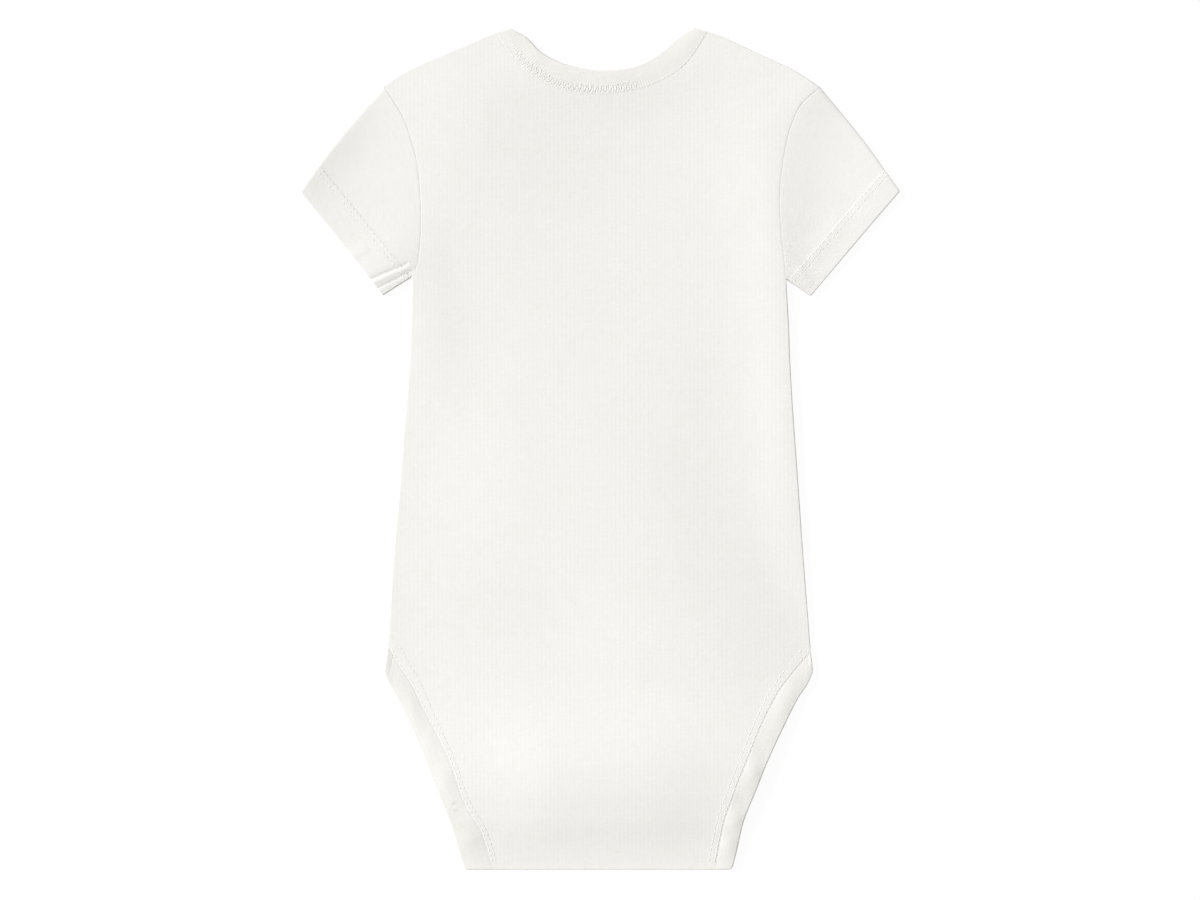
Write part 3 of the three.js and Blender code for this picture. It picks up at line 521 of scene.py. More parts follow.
def dress(piece, finish, slotName, *nodes):
    piece.data.materials.append(finish)
    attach(piece, bodyName)
    if nodes:
        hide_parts(*nodes)
    return piece


# Panels
backCut = {
    "facing": 1, "radius": 1.6, "rollDeep": 0.4, "rollSteps": 6, "edgeTo": 7.0, "edgeSteps": 15, "shoulderSteps": 24,
    "neckSteps": 52,
    "legRows": 78, "sideRows": 96, "armRows": 56, "topRows": [4.4, 3.4, 2.6, 2.1, 1.6, 1.2, 0.8, 0.45, 0.2, 0.06, 0],
}
frontPanelCut = {
    "facing": -1, "foldFade": 16, "radius": 1.45, "rollDeep": 0.5, "rollSteps": 4, "edgeTo": 6.0, "edgeSteps": 8,
    "shoulderSteps": 14, "neckSteps": 40,
    "legRows": 44, "sideRows": 52, "armRows": 34, "topRows": [3.0, 2.0, 1.45, 1.0, 0.6, 0.3, 0.1, 0],
}
neckShare = 0.255  # where the neck seam starts across a row, as a share of its width
cornerRun = 5  # the side roll starts this far from the hip and the armpit
# The second row of leg stitching lies this far from the seam at the hip and from the thigh down.
seamLook = {
    "secondRow": {"left": (5.2, 2.6), "right": (4.1, 3.7)}, "lift": 0.05, "groove": 0.06, "grooveWide": 0.4,
    "legDrop": 0.02, "legRun": 0.8, "armDrop": 0.05, "armRun": 0.8, "neckDrop": 0.02, "neckRun": 0.9,
}


def panelColumns(spec):
    turn = np.linspace(0, math.pi / 2, spec["rollSteps"] + 1)
    depth = spec["rollDeep"] * (1 - np.cos(turn))
    further = np.linspace(spec["rollDeep"], spec["edgeTo"], spec["edgeSteps"] + 1)[1:]
    edge = np.concatenate([depth, further])
    turns = np.concatenate([turn, np.full(len(further), math.pi / 2)])
    ease = np.append(np.linspace(0, 0.985, spec["shoulderSteps"]), 1)[1:]
    return {"edge": edge, "turn": turns, "shoulder": ease, "neck": np.linspace(0, 1, spec["neckSteps"] + 1)[1:-1]}


def panelRows(spec, legs, armholes):
    rows = {"left": [], "right": [], "roll": [], "shape": [], "toTop": []}

    def add(curves, shares, roll, shape, toTop):
        for side in sides:
            rows[side].append(curveAt(curves[side], shares))
        rows["roll"].append(np.broadcast_to(roll, shares.shape))
        rows["shape"].append(np.broadcast_to(shape, shares.shape))
        rows["toTop"].append(np.broadcast_to(toTop, shares.shape))

    add(legs, np.linspace(1, 0, spec["legRows"] + 1)[:-1], 0, 0, 1e3)
    up = np.linspace(0, 1, spec["sideRows"] + 1)
    run = np.minimum(up, 1 - up) * sideSeam["left"]["length"]
    add(sideSeam, up, smooth(run, 0, cornerRun), 0, 1e3)
    length = armholes["left"]["length"]
    top = np.array(spec["topRows"])
    up = np.linspace(0, 1 - top[0] / length, spec["armRows"] + 1)[1:-1]
    add(armholes, up, 0, smooth(up, 0, 1), (1 - up) * length)
    add(armholes, 1 - top / length, 0, 1, top)
    return {name: np.concatenate(values) for name, values in rows.items()}


# Places of a panel's outer face, with the distances to its side and top that its folds need.
def panelPlaces(spec, legs, armholes, neck):
    columns, rows = panelColumns(spec), panelRows(spec, legs, armholes)
    width = (rows["right"] - rows["left"])[:, :1]
    room = (1 - rows["roll"])[:, None] * cut["seamRoom"]
    edge = (columns["edge"][None, :] + room) / width
    slope = blend(edge[:, -1:], neckShare, columns["shoulder"][None, :])
    half = np.hstack([edge, slope])
    middle = np.broadcast_to(blend(neckShare, 1 - neckShare, columns["neck"]), (len(width), len(columns["neck"])))
    across = np.hstack([half, middle, 1 - half[:, ::-1]])
    top = []
    for side in sides:
        length = shoulder[side]["length"]
        shares = np.concatenate([(cut["seamRoom"] + columns["edge"]) / length,
            blend((cut["seamRoom"] + spec["edgeTo"]) / length, 1 - cut["seamRoom"] / length, columns["shoulder"])])
        top.append(curveAt(shoulder[side], shares))
    seam, free = curveAt(neck["seam"], columns["neck"]), curveAt(neck["edge"], columns["neck"])
    away = (seam - free) / np.linalg.norm(seam - free, axis=1, keepdims=True)
    top = np.vstack([top[0], seam + away * cut["seamRoom"], top[1][::-1]])
    flatRow = rows["left"][:, None] + (rows["right"] - rows["left"])[:, None] * across[..., None]
    shape = rows["shape"][:, None]
    places = flatRow + shape[..., None] * (top - flatRow[-1])
    held = np.minimum(np.minimum(across, 1 - across) / neckShare, 1)
    places[..., 0] += shape * held * (across - 0.5) * (width[-1] - width)
    turns = np.full(across.shape, math.pi / 2)
    count = len(columns["turn"])
    sideTurn = math.pi / 2 + rows["roll"][:, None] * (columns["turn"] - math.pi / 2)
    turns[:, :count], turns[:, -count:] = sideTurn, sideTurn[:, ::-1]
    toTop = np.broadcast_to(rows["toTop"][:, None], across.shape)
    onShoulder = np.zeros(across.shape[1])
    onShoulder[:half.shape[1]] = 1 - smooth(np.concatenate([columns["edge"] * 0, columns["shoulder"]]), 0.985, 1.0)
    onShoulder[-half.shape[1]:] = onShoulder[:half.shape[1]][::-1]
    topTurn = np.arccos(1 - np.clip(toTop / spec["rollDeep"], 0, 1))
    turns = turns + (toTop < spec["rollDeep"]) * onShoulder * (np.minimum(topTurn, turns) - turns)
    toSide = np.minimum(across, 1 - across) * width
    face = spec["facing"]
    height = cut["seamHeight"] + face * (cut["gap"] / 2 + spec["radius"] * np.sin(turns))
    return places, height, np.sin(turns), toSide, toTop, rows


def seamProfile(away, drop, run):
    return -drop * (1 - smooth(away, 0, run))


def secondRowAt(side, along):
    hip, thigh = seamLook["secondRow"][side]
    return blend(hip, thigh, smooth(along, 0, 0.55))


# The raised strip between a leg seam and its second row of stitching.
def stitchedSeam(places, seams):
    look, height = seamLook, np.zeros(places.shape[:-1])
    for side, outX in sides.items():
        away, along = distanceTo(places, seams[side])
        row = secondRowAt(side, along)
        raised = smooth(away, 0.3, 1.1) - smooth(away, row - 0.1, row + 1.0)
        sunk = np.exp(-(((away - row) / look["grooveWide"]) ** 2))
        edge = seamProfile(away, look["legDrop"], look["legRun"])
        height += np.where(places[..., 0] * outX > 0, look["lift"] * raised - look["groove"] * sunk + edge, 0)
    return height


def nearest(places, curves):
    return np.minimum(*[distanceTo(places, curves[side])[0] for side in sides])


def makeBack():
    spec = backCut
    places, height, share, toSide, toTop, rows = panelPlaces(spec, legSeam, armhole, backNeck)
    x, y = places[..., 0], places[..., 1]
    height = height + laidRise(x, y) * share + backStack(x, y)
    onLeg = (rows["roll"] == 0)[:, None] & (y < -90)
    height += np.where(onLeg, stitchedSeam(places, legSeam) * smooth(y, crotch["foldY"], crotch["foldY"] + 3), 0)
    onArm = (rows["toTop"] < 900)[:, None]
    height += np.where(onArm, seamProfile(nearest(places, armhole), seamLook["armDrop"], seamLook["armRun"]), 0)
    height += seamProfile(distanceTo(places, backNeck["seam"])[0], seamLook["neckDrop"], seamLook["neckRun"])
    upper = np.dstack([x, y, height])
    # the part that folds under, from its end to the fold and round it
    radius = cut["bodyHeight"] / 2
    acrossX = x[0]
    underY = np.concatenate([np.linspace(crotch["underEnd"], -200, 20), [-202, -204, -206, -207.5]])
    under = np.stack([np.stack([acrossX, np.full_like(acrossX, v), underStack(acrossX, np.full_like(acrossX, v))], -1)
        for v in underY])
    turn = foldTurns()
    folded = np.stack([np.stack([acrossX, np.full_like(acrossX, crotch["foldY"] - radius * foldDepth(t)),
        np.full_like(acrossX, radius + radius * math.cos(t))], -1) for t in turn])
    outer = np.concatenate([under, folded, upper])
    return dress(clothMesh("back", outer, layOf(outer), wall=cut["jersey"]), jerseyFinish, "jersey", "back_panel")


# Where each place lies on the flat cloth: across the row, and along the middle of the rows.
def layOf(outer):
    middle = outer[:, outer.shape[1] // 2]
    run = np.concatenate([[0], np.cumsum(np.linalg.norm(np.diff(middle, axis=0), axis=1))])
    start = outer[len(outer) // 2, outer.shape[1] // 2, 1]
    lay = outer[..., :2].copy()
    bent = outer[:, :, 1] - middle[:, None, 1]
    lay[..., 1] = run[:, None] + bent
    return lay


frontFolds = [(-40, -20, 80, 60, 9, 0.5), (52, -70, 100, 50, 8, 0.4), (10, 60, 20, 40, 10, 0.45), (-20, 105, 8, 45, 9, 0.35)]


def makeFront():
    spec = frontPanelCut
    places, height, share, toSide, toTop, rows = panelPlaces(spec, frontLegSeam, frontArmhole, frontNeck)
    x, y = places[..., 0], places[..., 1]
    inward = smooth(np.minimum(toSide, toTop), spec["radius"], spec["foldFade"])
    height = height + foldRise(x, y, frontFolds) * inward + flapStack(x, y)
    outer = np.dstack([x, y, height])
    piece = clothMesh("front", outer, layOf(outer), flip=True, wall=cut["jersey"])
    return dress(piece, jerseyFinish, "jersey", "front_panel")


front = makeFront()
back = makeBack()
print("panels made")

# Rib bands: strips of doubled rib, as rows between the seam and the free edge
legBandSpec = {
    "wall": 1.53, "under": {"left": 13, "right": 9.5}, "cornerRound": 1.2, "rowStep": 0.3, "wale": 1.3, "ribDeep": 0.02,
    "edgeRound": 0.5, "puff": 0.14, "topPoints": 21, "bottomPoints": 7, "ridge": 0.02, "seamDrop": 0.03,
}
neckBandSpec = {
    "wall": 1.53, "rowStep": 0.24, "wale": 1.2, "ribDeep": 0.03, "edgeRound": 0.6, "puff": 0.15, "topPoints": 27,
    "bottomPoints": 8, "ridge": 0.02, "seamDrop": 0.03,
    "hatch": {"deep": 0.1, "low": 0.6, "high": 4.5, "highLeft": 8.0, "leftFrom": -36, "leftTo": -20,
        "starts": (-44, -38), "ends": (18, 34)},
}


edgeRise = 0.8  # a band's free edge follows this much of the folds


def stripRow(seam, edge, seamZ, edgeZ, looks):
    return [*seam, seamZ, *edge, edgeZ, *looks]


# Where a curve has come away from its start, or its end, by each depth.
def reach(curve, outward, depths, fromEnd):
    shares = np.linspace(0, 0.3, 600)
    at = curveAt(curve, 1 - shares if fromEnd else shares)
    gone = np.maximum.accumulate((at[0] - at) @ outward)
    found = np.interp(depths, gone, shares)
    return 1 - found if fromEnd else found


def turnStrip(upper, lower, outward, bandHeight, fromEnd, steps=16):
    radius = bandHeight / 2
    rows = []
    for turn in np.linspace(0, math.pi, 2 * steps + 1):
        curves = upper if turn < math.pi / 2 else lower
        depth = radius * (1 - foldDepth(turn))
        points = [curveAt(curves[k], reach(curves[k], outward, [depth], fromEnd))[0] for k in ("seam", "edge")]
        z, share = radius + radius * math.cos(turn), max(math.cos(turn), 0)
        rises = [riseAt(points[0]) * share, riseAt(points[1]) * share * edgeRise]
        rows.append(stripRow(points[0], points[1], z + rises[0], z + rises[1], (*(outward * math.sin(turn)), math.cos(turn))))
    return rows


def outwardOf(seam, edge, away):
    along = (edge - seam) / np.linalg.norm(edge - seam)
    outward = np.array([-along[1], along[0]])
    return outward if outward @ np.array(away) > 0 else -outward


def evenStrip(rows, rowStep, closed):
    rows = np.array(rows, float)
    if closed:
        rows = np.vstack([rows, rows[:1]])
    middle = (rows[:, :3] + rows[:, 3:6]) / 2
    run = np.concatenate([[0], np.cumsum(np.linalg.norm(np.diff(middle, axis=0), axis=1))])
    at = np.linspace(0, run[-1], int(run[-1] / rowStep) + 1)
    return at, np.stack([np.interp(at, run, rows[:, k]) for k in range(9)], -1)


# How deep the wales are drawn in under the cover stitching, which fades towards the wearer's right shoulder.
def hatchShare(x, fromSeam, spec):
    high = blend(spec["highLeft"], spec["high"], smooth(x, spec["leftFrom"], spec["leftTo"]))
    strip = smooth(fromSeam, spec["low"] - 0.3, spec["low"] + 0.3) * (1 - smooth(fromSeam, high - 0.5, high + 0.3))
    return strip * smooth(x, *spec["starts"]) * (1 - smooth(x, *spec["ends"]))


# The band's closed section, with wales across it and puffs along it.
def makeBand(name, keyRows, spec, puffs, closed, node, creases=()):
    at, rows = evenStrip(keyRows, spec["rowStep"], closed)
    seam, edge, looks = rows[:, None, :3], rows[:, None, 3:6], rows[:, None, 6:]
    looks = looks / np.linalg.norm(looks, axis=-1, keepdims=True)
    width = np.linalg.norm(edge - seam, axis=-1)
    top = (1 - np.cos(np.linspace(0, math.pi, spec["topPoints"]))) / 2
    bottom = (1 + np.cos(np.linspace(0, math.pi, spec["bottomPoints"])))[1:] / 2
    share = np.concatenate([top, bottom, top[:1]])[None, :]
    sign = np.concatenate([np.ones(len(top)), -np.ones(len(bottom)), [1]])[None, :]
    inset = cut["seamRoom"] / width
    across = inset + share * (1 - inset)
    fromEdge, fromSeam = (1 - across) * width, (across - inset) * width
    rounded = np.sqrt(np.clip(1 - (1 - np.clip(fromEdge / spec["edgeRound"], 0, 1)) ** 2, 0, 1))
    half = spec["wall"] / 2 * rounded
    wave = np.abs(np.sin(math.pi * at[:, None] / spec["wale"])) ** 0.7 - 1
    onTop = (sign > 0) * smooth(looks[..., 2], 0.2, 0.9)
    flat = seam + (edge - seam) * across[..., None]
    deep = spec["ribDeep"] * rounded
    if "hatch" in spec:
        deep = deep + spec["hatch"]["deep"] * hatchShare(flat[..., 0], fromSeam, spec["hatch"]) * onTop
    swell = spec["puff"] * np.sin(math.pi * np.clip(across, 0, 1)) ** 1.2
    for centre, length, rise in puffs:
        swell = swell + rise * np.exp(-(((at[:, None] - centre) / length) ** 2)) * np.sin(math.pi * np.clip(across, 0, 1))
    swell = swell + spec["ridge"] * np.exp(-(((fromSeam - 1.1) / 0.6) ** 2)) - spec["seamDrop"] * (1 - smooth(fromSeam, 0, 0.9))
    lift = sign * (half + deep * wave) + onTop * swell
    if creases:
        lift = lift + creaseRise(flat[..., :2], creases) * onTop
    places = flat - looks * spec["wall"] / 2 + looks * lift[..., None]
    lay = np.dstack([np.broadcast_to(at[:, None], across.shape), sign * across * width])
    piece = clothMesh(name, places, lay, closed=True)
    return dress(piece, ribFinish, "rib", node)


def creaseRise(places, creases):
    rise = np.zeros(places.shape[:-1])
    for start, end, wide, height in creases:
        away = distanceTo(places, curveOf([start, end], 4), 1)[0]
        rise += height * np.exp(-((away / wide) ** 2))
    return rise


def legStrip(side):
    outX, spec = sides[side], legBandSpec
    upper = {"seam": legSeam[side], "edge": legEdge[side]}
    lower = {"seam": frontLegSeam[side], "edge": frontLegEdge[side]}
    bandHeight = 2 * spec["wall"] + cut["gap"]
    seamX, edgeX = upper["seam"]["line"][-1][0], upper["edge"]["line"][-1][0]
    rows = []
    for y in np.linspace(crotch["underEnd"], crotch["foldY"], 40)[:-1]:
        wide = blend(abs(edgeX - seamX), spec["under"][side], smooth(y, crotch["foldY"], crotch["flapEnd"]))
        z = crotch["bandLift"] * stackStart(y)
        rows.append(stripRow((seamX, y), (seamX + outX * wide, y), z, z, (0, 0, -1)))
    radius = bandHeight / 2
    for turn in foldTurns():
        y, z = crotch["foldY"] - radius * foldDepth(turn), radius + radius * math.cos(turn)
        edge = (edgeX - outX * spec["cornerRound"] * foldDepth(turn), y)
        rows.append(stripRow((seamX, y), edge, z, z, (0, -math.sin(turn), math.cos(turn))))
    outward = outwardOf(upper["seam"]["line"][0], upper["edge"]["line"][0], (outX, 0))
    last = [float(reach(upper[k], outward, [radius], False)[0]) for k in ("seam", "edge")]
    for along in np.linspace(0, 1, 120)[:-1]:
        seam, edge = [curveAt(upper[k], blend(1, last[n], along)) for n, k in enumerate(("seam", "edge"))]
        heights = [bandHeight + crotch["bandLift"] * stackStart(p[1]) * stackEnd(p[1]) + riseAt(p) * share
            for p, share in ((seam, 1), (edge, edgeRise))]
        rows.append(stripRow(seam, edge, heights[0], heights[1], (0, 0, 1)))
    rows += turnStrip(upper, lower, outward, bandHeight, False)
    start = [float(reach(lower[k], outward, [radius], False)[0]) for k in ("seam", "edge")]
    for along in np.linspace(0, 1, 80)[1:]:
        seam, edge = [curveAt(lower[k], blend(start[n], 1, along)) for n, k in enumerate(("seam", "edge"))]
        rows.append(stripRow(seam, edge, 0, 0, (0, 0, -1)))
    return rows


def neckStrip():
    spec = neckBandSpec
    bandHeight = 2 * spec["wall"] + cut["gap"]
    radius = bandHeight / 2
    ends = [outwardOf(backNeck["seam"]["line"][k], backNeck["edge"]["line"][k], (0, 1)) for k in (0, -1)]
    rows = []

    def run(curves, z, looks, backwards):
        first = [float(reach(curves[k], ends[0], [radius], False)[0]) for k in ("seam", "edge")]
        last = [float(reach(curves[k], ends[1], [radius], True)[0]) for k in ("seam", "edge")]
        part = []
        for along in np.linspace(0, 1, 160)[1:-1]:
            seam, edge = [curveAt(curves[k], blend(first[n], last[n], along)) for n, k in enumerate(("seam", "edge"))]
            rises = [riseAt(seam), riseAt(edge) * edgeRise] if z > 0 else (0, 0)
            part.append(stripRow(seam, edge, z + rises[0], z + rises[1], looks))
        return part[::-1] if backwards else part

    rows += run(backNeck, bandHeight, (0, 0, 1), False)
    rows += turnStrip(backNeck, frontNeck, ends[1], bandHeight, True)
    rows += run(frontNeck, 0, (0, 0, -1), True)
    rows += turnStrip(backNeck, frontNeck, ends[0], bandHeight, False)[::-1]
    return rows


legPuffs = {  # places along the band, half lengths and rises
    "left": [(60, 5, 0.3), (74, 4, -0.2), (92, 7, 0.25), (112, 6, 0.15), (131, 8, 0.2), (152, 5, -0.15)],
    "right": [(58, 5, 0.25), (70, 4, 0.3), (81, 4, -0.2), (96, 5, 0.3), (108, 4, -0.15), (133, 9, 0.2), (158, 5, 0.15)],
}
neckPuffs = [(18, 4, 0.15), (60, 9, 0.1), (104, 5, 0.12)]
# Puckers beside the crotch corner and the joining line at the hip: a line, its half width and rise.
bandCreases = {
    "left": [((-72.5, -177), (-63.5, -180.5), 0.8, -0.24), ((-71.5, -180.5), (-62.5, -184), 0.8, -0.2),
        ((-72, -178.7), (-63, -182.2), 0.7, 0.16), ((-103, -102.2), (-105.7, -113.3), 0.5, -0.06)],
    "right": [((103.4, -101.5), (104.6, -111), 0.5, -0.05)],
}
for side in sides:
    makeBand("leg_rib_" + side, legStrip(side), legBandSpec, legPuffs[side], False, "leg_band_" + side,
        bandCreases[side])
neckBand = makeBand("neck_rib", neckStrip(), neckBandSpec, neckPuffs, True, "neck_band")
print("bands made")

# Sleeves: flattened tubes from the armhole to a turned hem
sleeveSpec = {
    "hemWall": 1.6, "hemHeight": 3.48, "hemDeep": {"left": 16.5, "right": 13.5}, "rollSteps": 8, "rollDeep": 0.4,
    "nearUnderarm": 11, "nearSteps": 26, "upperSteps": 44, "lowerSteps": 24, "rows": 110, "rowsInside": 14,
    "hemRows": 2.2, "hemGroove": 0.05, "hemGrooveWide": 0.4,
}
# Creases beside the left underarm seam, and softer ones on the right: a line, its half width and rise.
sleeveCreases = {
    "left": [((-116.5, 84), (-96.5, 92.5), 0.9, -0.28), ((-111.5, 80.2), (-94, 88.8), 0.8, -0.24),
        ((-114.5, 82.4), (-96, 90.8), 1.1, 0.16), ((-127.5, 94.5), (-118, 99.5), 2.4, 0.2)],
    "right": [((108, 100), (118, 112), 5, 0.2), ((99, 90), (104, 84), 2.2, 0.15)],
}


def sleeveSurface(side, along, layer):
    top = sleeveTop[side]
    tip, hemTop, corner = top["line"][0], top["line"][-1], np.array(hemCorner[side], float)

    def at(across):
        seam = curveAt(layer, 1 - across)
        place = seam + (blend(hemTop, corner, across[..., None]) - seam) * along
        bow = curveAt(top, along) - blend(tip, hemTop, along)
        return place + bow * (1 - across[..., None])

    return at


def sleeveRings(side):
    spec, outX = sleeveSpec, sides[side]
    tip, hemTop = sleeveTop[side]["line"][0], sleeveTop[side]["line"][-1]
    armpit, corner = armhole[side]["line"][0], np.array(hemCorner[side], float)
    topOut = outwardOf(tip, hemTop, (outX, 1))
    underOut = outwardOf(armpit, corner, (0, -1))
    hemLine = curveOf([hemTop, corner], 4)
    first = 0.02 / np.linalg.norm(armpit - corner)
    alongs = np.unique(np.concatenate([np.linspace(first, 1 - 0.012, spec["rows"]), [first * 5, first * 15, first * 35, first * 70]]))
    quarter = np.linspace(math.pi / 2, 0, spec["rollSteps"] + 1)[:-1]
    outer, inner = [], []

    def inHem(places):
        hemAway, armAway = distanceTo(places, hemLine, 1)[0], distanceTo(places, armhole[side])[0]
        return (1 - smooth(hemAway, spec["hemDeep"][side] - 0.5, spec["hemDeep"][side] + 0.3)) * smooth(armAway, 0.5, 4)

    for along in alongs:
        upperAt, lowerAt = sleeveSurface(side, along, armhole[side]), sleeveSurface(side, along, frontArmhole[side])
        ends = upperAt(np.array([0.0, 1.0]))
        width = np.linalg.norm(ends[0] - ends[1])
        radii = blend(cut["bodyHeight"], spec["hemHeight"], inHem(ends)) / 2

        def rolled(turns, underarm, at):
            radius = radii[int(underarm)]
            depth = spec["rollDeep"] * (1 - np.sin(turns)) / width
            places = at(1 - depth if underarm else depth)
            out = underOut if underarm else topOut
            looks = np.column_stack([np.outer(np.sin(turns), out), np.cos(turns)])
            rise = laidRise(*places.T) * np.clip(np.cos(turns), 0, 1)
            return np.column_stack([places, radius + radius * np.cos(turns) + rise]), looks

        def laidFlat(across, at, facing):
            places = at(across)
            height = np.zeros(len(across))
            if facing > 0:
                height = blend(cut["bodyHeight"], spec["hemHeight"], inHem(places)) + laidRise(*places.T)
                height = height + creaseRise(places, sleeveCreases[side])
                armAway = distanceTo(places, armhole[side])[0]
                height = height + seamProfile(armAway, seamLook["armDrop"], seamLook["armRun"])
                hemAway = distanceTo(places, hemLine, 1)[0]
                for row in (spec["hemDeep"][side] - 0.5, spec["hemDeep"][side] - 0.5 - spec["hemRows"]):
                    height = height - spec["hemGroove"] * np.exp(-(((hemAway - row) / spec["hemGrooveWide"]) ** 2))
            looks = np.broadcast_to([0.0, 0.0, float(facing)], (len(across), 3))
            return np.column_stack([places, height]), looks

        atTop, under = spec["rollDeep"] / width, spec["rollDeep"] / width
        near = np.linspace(spec["nearUnderarm"] / width, under, spec["nearSteps"] + 1)[1:]
        far = np.linspace(atTop, 1 - spec["nearUnderarm"] / width, spec["upperSteps"] + 1)
        lower = np.linspace(1 - under, atTop, spec["lowerSteps"] + 1)
        parts = [
            rolled(quarter, False, upperAt), laidFlat(far, upperAt, 1), laidFlat(1 - near, upperAt, 1),
            rolled(quarter[::-1], True, upperAt), rolled(math.pi - quarter[1:], True, lowerAt),
            laidFlat(lower, lowerAt, -1), rolled(math.pi - quarter[::-1], False, lowerAt),
        ]
        places, looks = (np.vstack([part[k] for part in parts]) for k in (0, 1))
        wall = blend(cut["jersey"], spec["hemWall"], inHem(places[:, :2]))
        outer.append(places)
        inner.append(places - looks * wall[:, None])
    return np.array(outer), np.array(inner)


def makeSleeve(side):
    outer, inner = sleeveRings(side)
    # the hem's folded edge, half round between the outer and the inner face
    outward = outer[-1] - outer[-4]
    outward[:, 2] = 0
    outward /= np.linalg.norm(outward, axis=1, keepdims=True)
    middle, arm = (outer[-1] + inner[-1]) / 2, (outer[-1] - inner[-1]) / 2
    radius = np.linalg.norm(arm, axis=1, keepdims=True)
    rim = [middle + arm * math.cos(t) + outward * radius * 0.45 * math.sin(t) for t in np.linspace(0, math.pi, 8)[1:-1]]
    backRows = inner[np.unique(np.linspace(0, len(inner) - 1, sleeveSpec["rowsInside"]).astype(int))][::-1]
    rings = np.concatenate([outer, rim, backRows, outer[:1]])
    rings = np.concatenate([rings, rings[:, :1]], axis=1)
    stepU = np.linalg.norm(np.diff(rings, axis=1), axis=2)
    aroundLength = np.concatenate([np.zeros((len(rings), 1)), np.cumsum(stepU, axis=1)], axis=1)
    stepV = np.linalg.norm(np.diff(rings[:, 20], axis=0), axis=1)
    downLength = np.concatenate([[0], np.cumsum(stepV)])
    lay = np.dstack([aroundLength, np.broadcast_to(downLength[:, None], aroundLength.shape)])
    piece = clothMesh("sleeve_cloth_" + side, rings, lay, closed=True)
    return dress(piece, jerseyFinish, "jersey", "sleeve_" + side)


sleeves = {side: makeSleeve(side) for side in sides}
print("sleeves made")

# Stitches: short threads laid on the cloth along a line
threadSpec = {"length": 2.6, "gap": 0.5, "thick": 0.34, "flat": 0.26, "sink": 0.1, "sinkUnder": 0.22, "seamRow": 0.8}


def treeOf(piece):
    bm = bmesh.new()
    bm.from_mesh(piece.data)
    tree = BVHTree.FromBMesh(bm)
    bm.free()
    return tree


def onCloth(tree, place, facing):
    start = Vector((place[0] * mm, place[1] * mm, 0.02 * facing))
    hit, normal, index, away = tree.ray_cast(start, Vector((0, 0, -facing)))
    return (hit, normal) if hit is not None else (None, None)


def layThread(bm, tree, start, end, facing, spec):
    a, normalA = onCloth(tree, start, facing)
    b, normalB = onCloth(tree, end, facing)
    if a is None or b is None or (b - a).length > 1.6 * spec["length"] * mm or (b - a).length < 0.2 * mm:
        return
    up = (normalA + normalB).normalized()
    along = (b - a).normalized()
    across = up.cross(along).normalized()
    up = along.cross(across)
    turn = Matrix((along, across, up)).transposed().to_4x4()
    size = Matrix.Diagonal(((b - a).length / 2, spec["thick"] * mm / 2, spec["flat"] * mm / 2, 1))
    sink = spec["sink"] if facing > 0 else spec["sinkUnder"]
    middle = (a + b) / 2 + up * (spec["flat"] / 2 - sink) * mm
    bmesh.ops.create_uvsphere(bm, u_segments=6, v_segments=5, radius=1,
        matrix=Matrix.Translation(middle) @ turn @ size @ Matrix.Rotation(math.pi / 2, 4, "Y"))


def offsetLine(curve, distance, count=400, low=0.0, high=1.0):
    shares = np.linspace(low, high, count)
    points = curveAt(curve, shares)
    ahead = np.gradient(points, axis=0)
    ahead /= np.linalg.norm(ahead, axis=1, keepdims=True)
    away = distance(shares) if callable(distance) else np.full(count, distance)
    return points + np.column_stack([-ahead[:, 1], ahead[:, 0]]) * away[:, None]


def rowOfStitches(bm, tree, line, facing, spec):
    run = np.concatenate([[0], np.cumsum(np.linalg.norm(np.diff(line, axis=0), axis=1))])
    count = max(int(run[-1] / spec["length"]), 1)
    edges = np.linspace(0, run[-1], count + 1)
    at = lambda s: np.array([np.interp(s, run, line[:, k]) for k in (0, 1)])
    for low, high in zip(edges, edges[1:]):
        layThread(bm, tree, at(low + spec["gap"] / 2), at(high - spec["gap"] / 2), facing, spec)


def threadPiece(name, bm):
    piece = bpy.data.objects.new(name, bpy.data.meshes.new(name))
    uvLayer = bm.loops.layers.uv.new("cloth")
    for face in bm.faces:
        face.smooth = True
        for loop in face.loops:
            loop[uvLayer].uv = (loop.vert.co.x + loop.vert.co.y, loop.vert.co.y - loop.vert.co.x)
    bm.to_mesh(piece.data)
    bm.free()
    bpy.context.scene.collection.objects.link(piece)
    return dress(piece, threadFinish, "jersey")


def sewPanel(name, piece, rows, facing):
    bm, tree = bmesh.new(), treeOf(piece)
    for line in rows:
        rowOfStitches(bm, tree, line, facing, threadSpec)
    return threadPiece(name, bm)


def crossings(bm, tree, inner, outer, facing, spec):
    run = np.concatenate([[0], np.cumsum(np.linalg.norm(np.diff(inner, axis=0), axis=1))])
    count = int(run[-1] / spec["length"]) * 2
    shares = np.linspace(0, 1, count + 1)
    lines = [np.stack([np.interp(shares * run[-1], run, line[:, k]) for k in (0, 1)], -1) for line in (inner, outer)]
    for n in range(count):
        if not hatch["starts"][0] < lines[0][n][0] < hatch["ends"][0]:
            continue
        layThread(bm, tree, lines[n % 2][n], lines[(n + 1) % 2][n + 1], facing, {**spec, "length": 6})


# Leg seams: a row beside the seam and one further in. The sign puts both on the panel's side of the curve.
def legRows(seams):
    rows = []
    for side, outX in sides.items():
        rows.append(offsetLine(seams[side], -outX * threadSpec["seamRow"], low=0.02, high=0.985))
        rows.append(offsetLine(seams[side], lambda along, side=side, outX=outX: -outX * secondRowAt(side, along), low=0.02, high=0.985))
    return rows


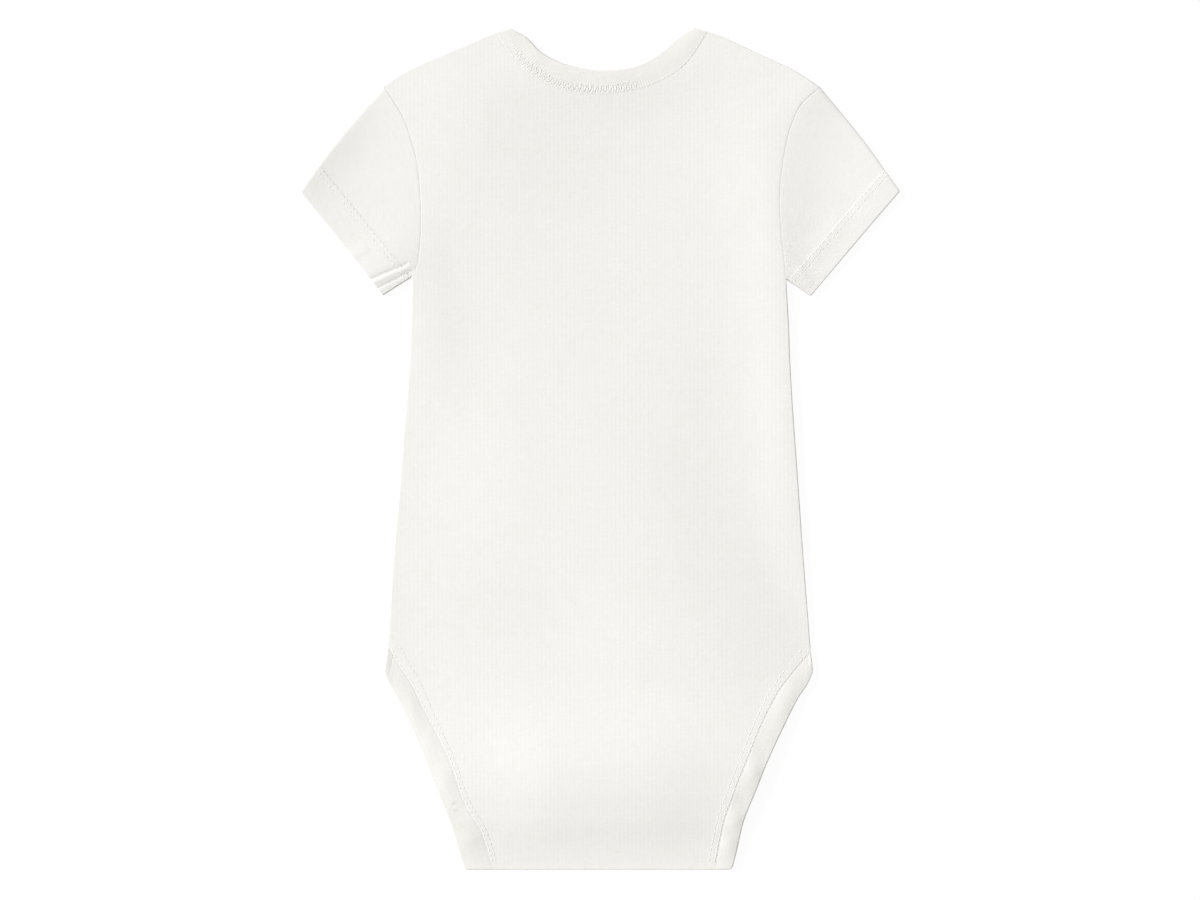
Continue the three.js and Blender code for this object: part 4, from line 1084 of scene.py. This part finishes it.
backStitches = sewPanel("stitches_back", back, legRows(legSeam), 1)
frontStitches = sewPanel("stitches_front", front, legRows(frontLegSeam), -1)
for side in sides:
    bm, tree = bmesh.new(), treeOf(sleeves[side])
    hemTop, corner = sleeveTop[side]["line"][-1], np.array(hemCorner[side], float)
    inward = outwardOf(hemTop, corner, (-sides[side], 1))
    for away in (sleeveSpec["hemDeep"][side] - 0.5, sleeveSpec["hemDeep"][side] - 0.5 - sleeveSpec["hemRows"]):
        line = np.array([blend(hemTop, corner, s) + inward * away for s in np.linspace(-0.15, 1.05, 200)])
        for facing in (1, -1):
            rowOfStitches(bm, tree, line, facing, threadSpec)
    threadPiece("stitches_hem_" + side, bm)
neckThread = {**threadSpec, "thick": 0.3, "flat": 0.24}
hatch = neckBandSpec["hatch"]
bm, tree = bmesh.new(), treeOf(neckBand)
for curves, facing in ((backNeck, 1), (frontNeck, -1)):
    near = offsetLine(curves["seam"], 0.9, low=0.02, high=0.98)
    further = offsetLine(curves["seam"], 4.6, low=0.02, high=0.98)
    rowOfStitches(bm, tree, near, facing, neckThread)
    covered = (further[:, 0] > hatch["starts"][0]) & (further[:, 0] < hatch["ends"][0])
    rowOfStitches(bm, tree, further[covered], facing, neckThread)
    crossings(bm, tree, near, further, facing, neckThread)
neckStitches = threadPiece("stitches_neck", bm)
print("stitches sewn")

# Snaps: rings under the flap and studs between the flaps, turned from their sections
snapSpec = {"pitch": 28, "ringOuter": 4.75, "ringInner": 2.8, "ringThick": 0.8, "studRadius": 4, "studThick": 1.0}


def turned(bm, profile, place):
    verts = [bm.verts.new((r * mm, 0, z * mm)) for r, z in profile]
    edges = [bm.edges.new(pair) for pair in zip(verts, verts[1:])]
    made = bmesh.ops.spin(bm, geom=verts + edges, axis=(0, 0, 1), cent=(0, 0, 0), angle=2 * math.pi, steps=40, use_merge=True)
    loose = [v for v in bm.verts if not v.tag]
    bmesh.ops.translate(bm, verts=loose, vec=place)
    for v in loose:
        v.tag = True


def makeSnaps():
    s = snapSpec
    snapY = (crotch["flapEnd"] + crotch["underEnd"]) / 2
    mid = (s["ringInner"] + s["ringOuter"]) / 2
    ringProfile = [(s["ringInner"], 0.3), (s["ringInner"] + 0.12, 0.1), (s["ringInner"] + 0.35, 0.0), (mid, 0.0),
        (s["ringOuter"] - 0.5, 0.03), (s["ringOuter"] - 0.16, 0.14), (s["ringOuter"], 0.36), (s["ringOuter"], 0.72),
        (s["ringOuter"] - 0.1, 0.8), (s["ringInner"] + 0.1, 0.8), (s["ringInner"], 0.7), (s["ringInner"], 0.3)]
    studProfile = [(0.0, 0.12), (1.5, 0.12), (1.75, 0.0), (s["studRadius"] - 0.35, 0.0), (s["studRadius"] - 0.08, 0.12),
        (s["studRadius"], 0.34), (s["studRadius"], 0.72), (s["studRadius"] - 0.12, 0.92), (s["studRadius"] - 0.4, 1.0),
        (2.2, 1.0), (1.9, 0.8), (0.0, 0.8)]
    made = []
    for name, profile, z, node in (("snap_rings", ringProfile, 0, "snap_ring_"),
            ("snap_studs", studProfile, crotch["flapLift"] + cut["jersey"] + cut["gap"], "snap_stud_")):
        bm = bmesh.new()
        for n in range(3):
            turned(bm, profile, ((n - 1) * s["pitch"] * mm, snapY * mm, z * mm))
        bmesh.ops.remove_doubles(bm, verts=bm.verts, dist=1e-6)
        bmesh.ops.recalc_face_normals(bm, faces=bm.faces)
        for face in bm.faces:
            face.smooth = True
        for edge in bm.edges:
            edge.smooth = edge.calc_face_angle(0) < 0.7
        piece = bpy.data.objects.new(name, bpy.data.meshes.new(name))
        bm.to_mesh(piece.data)
        bm.free()
        bpy.context.scene.collection.objects.link(piece)
        made.append(dress(piece, snapFinish, "snap_metal", *[node + str(n) for n in (1, 2, 3)]))
    return made


snaps = makeSnaps()
print("snaps turned")
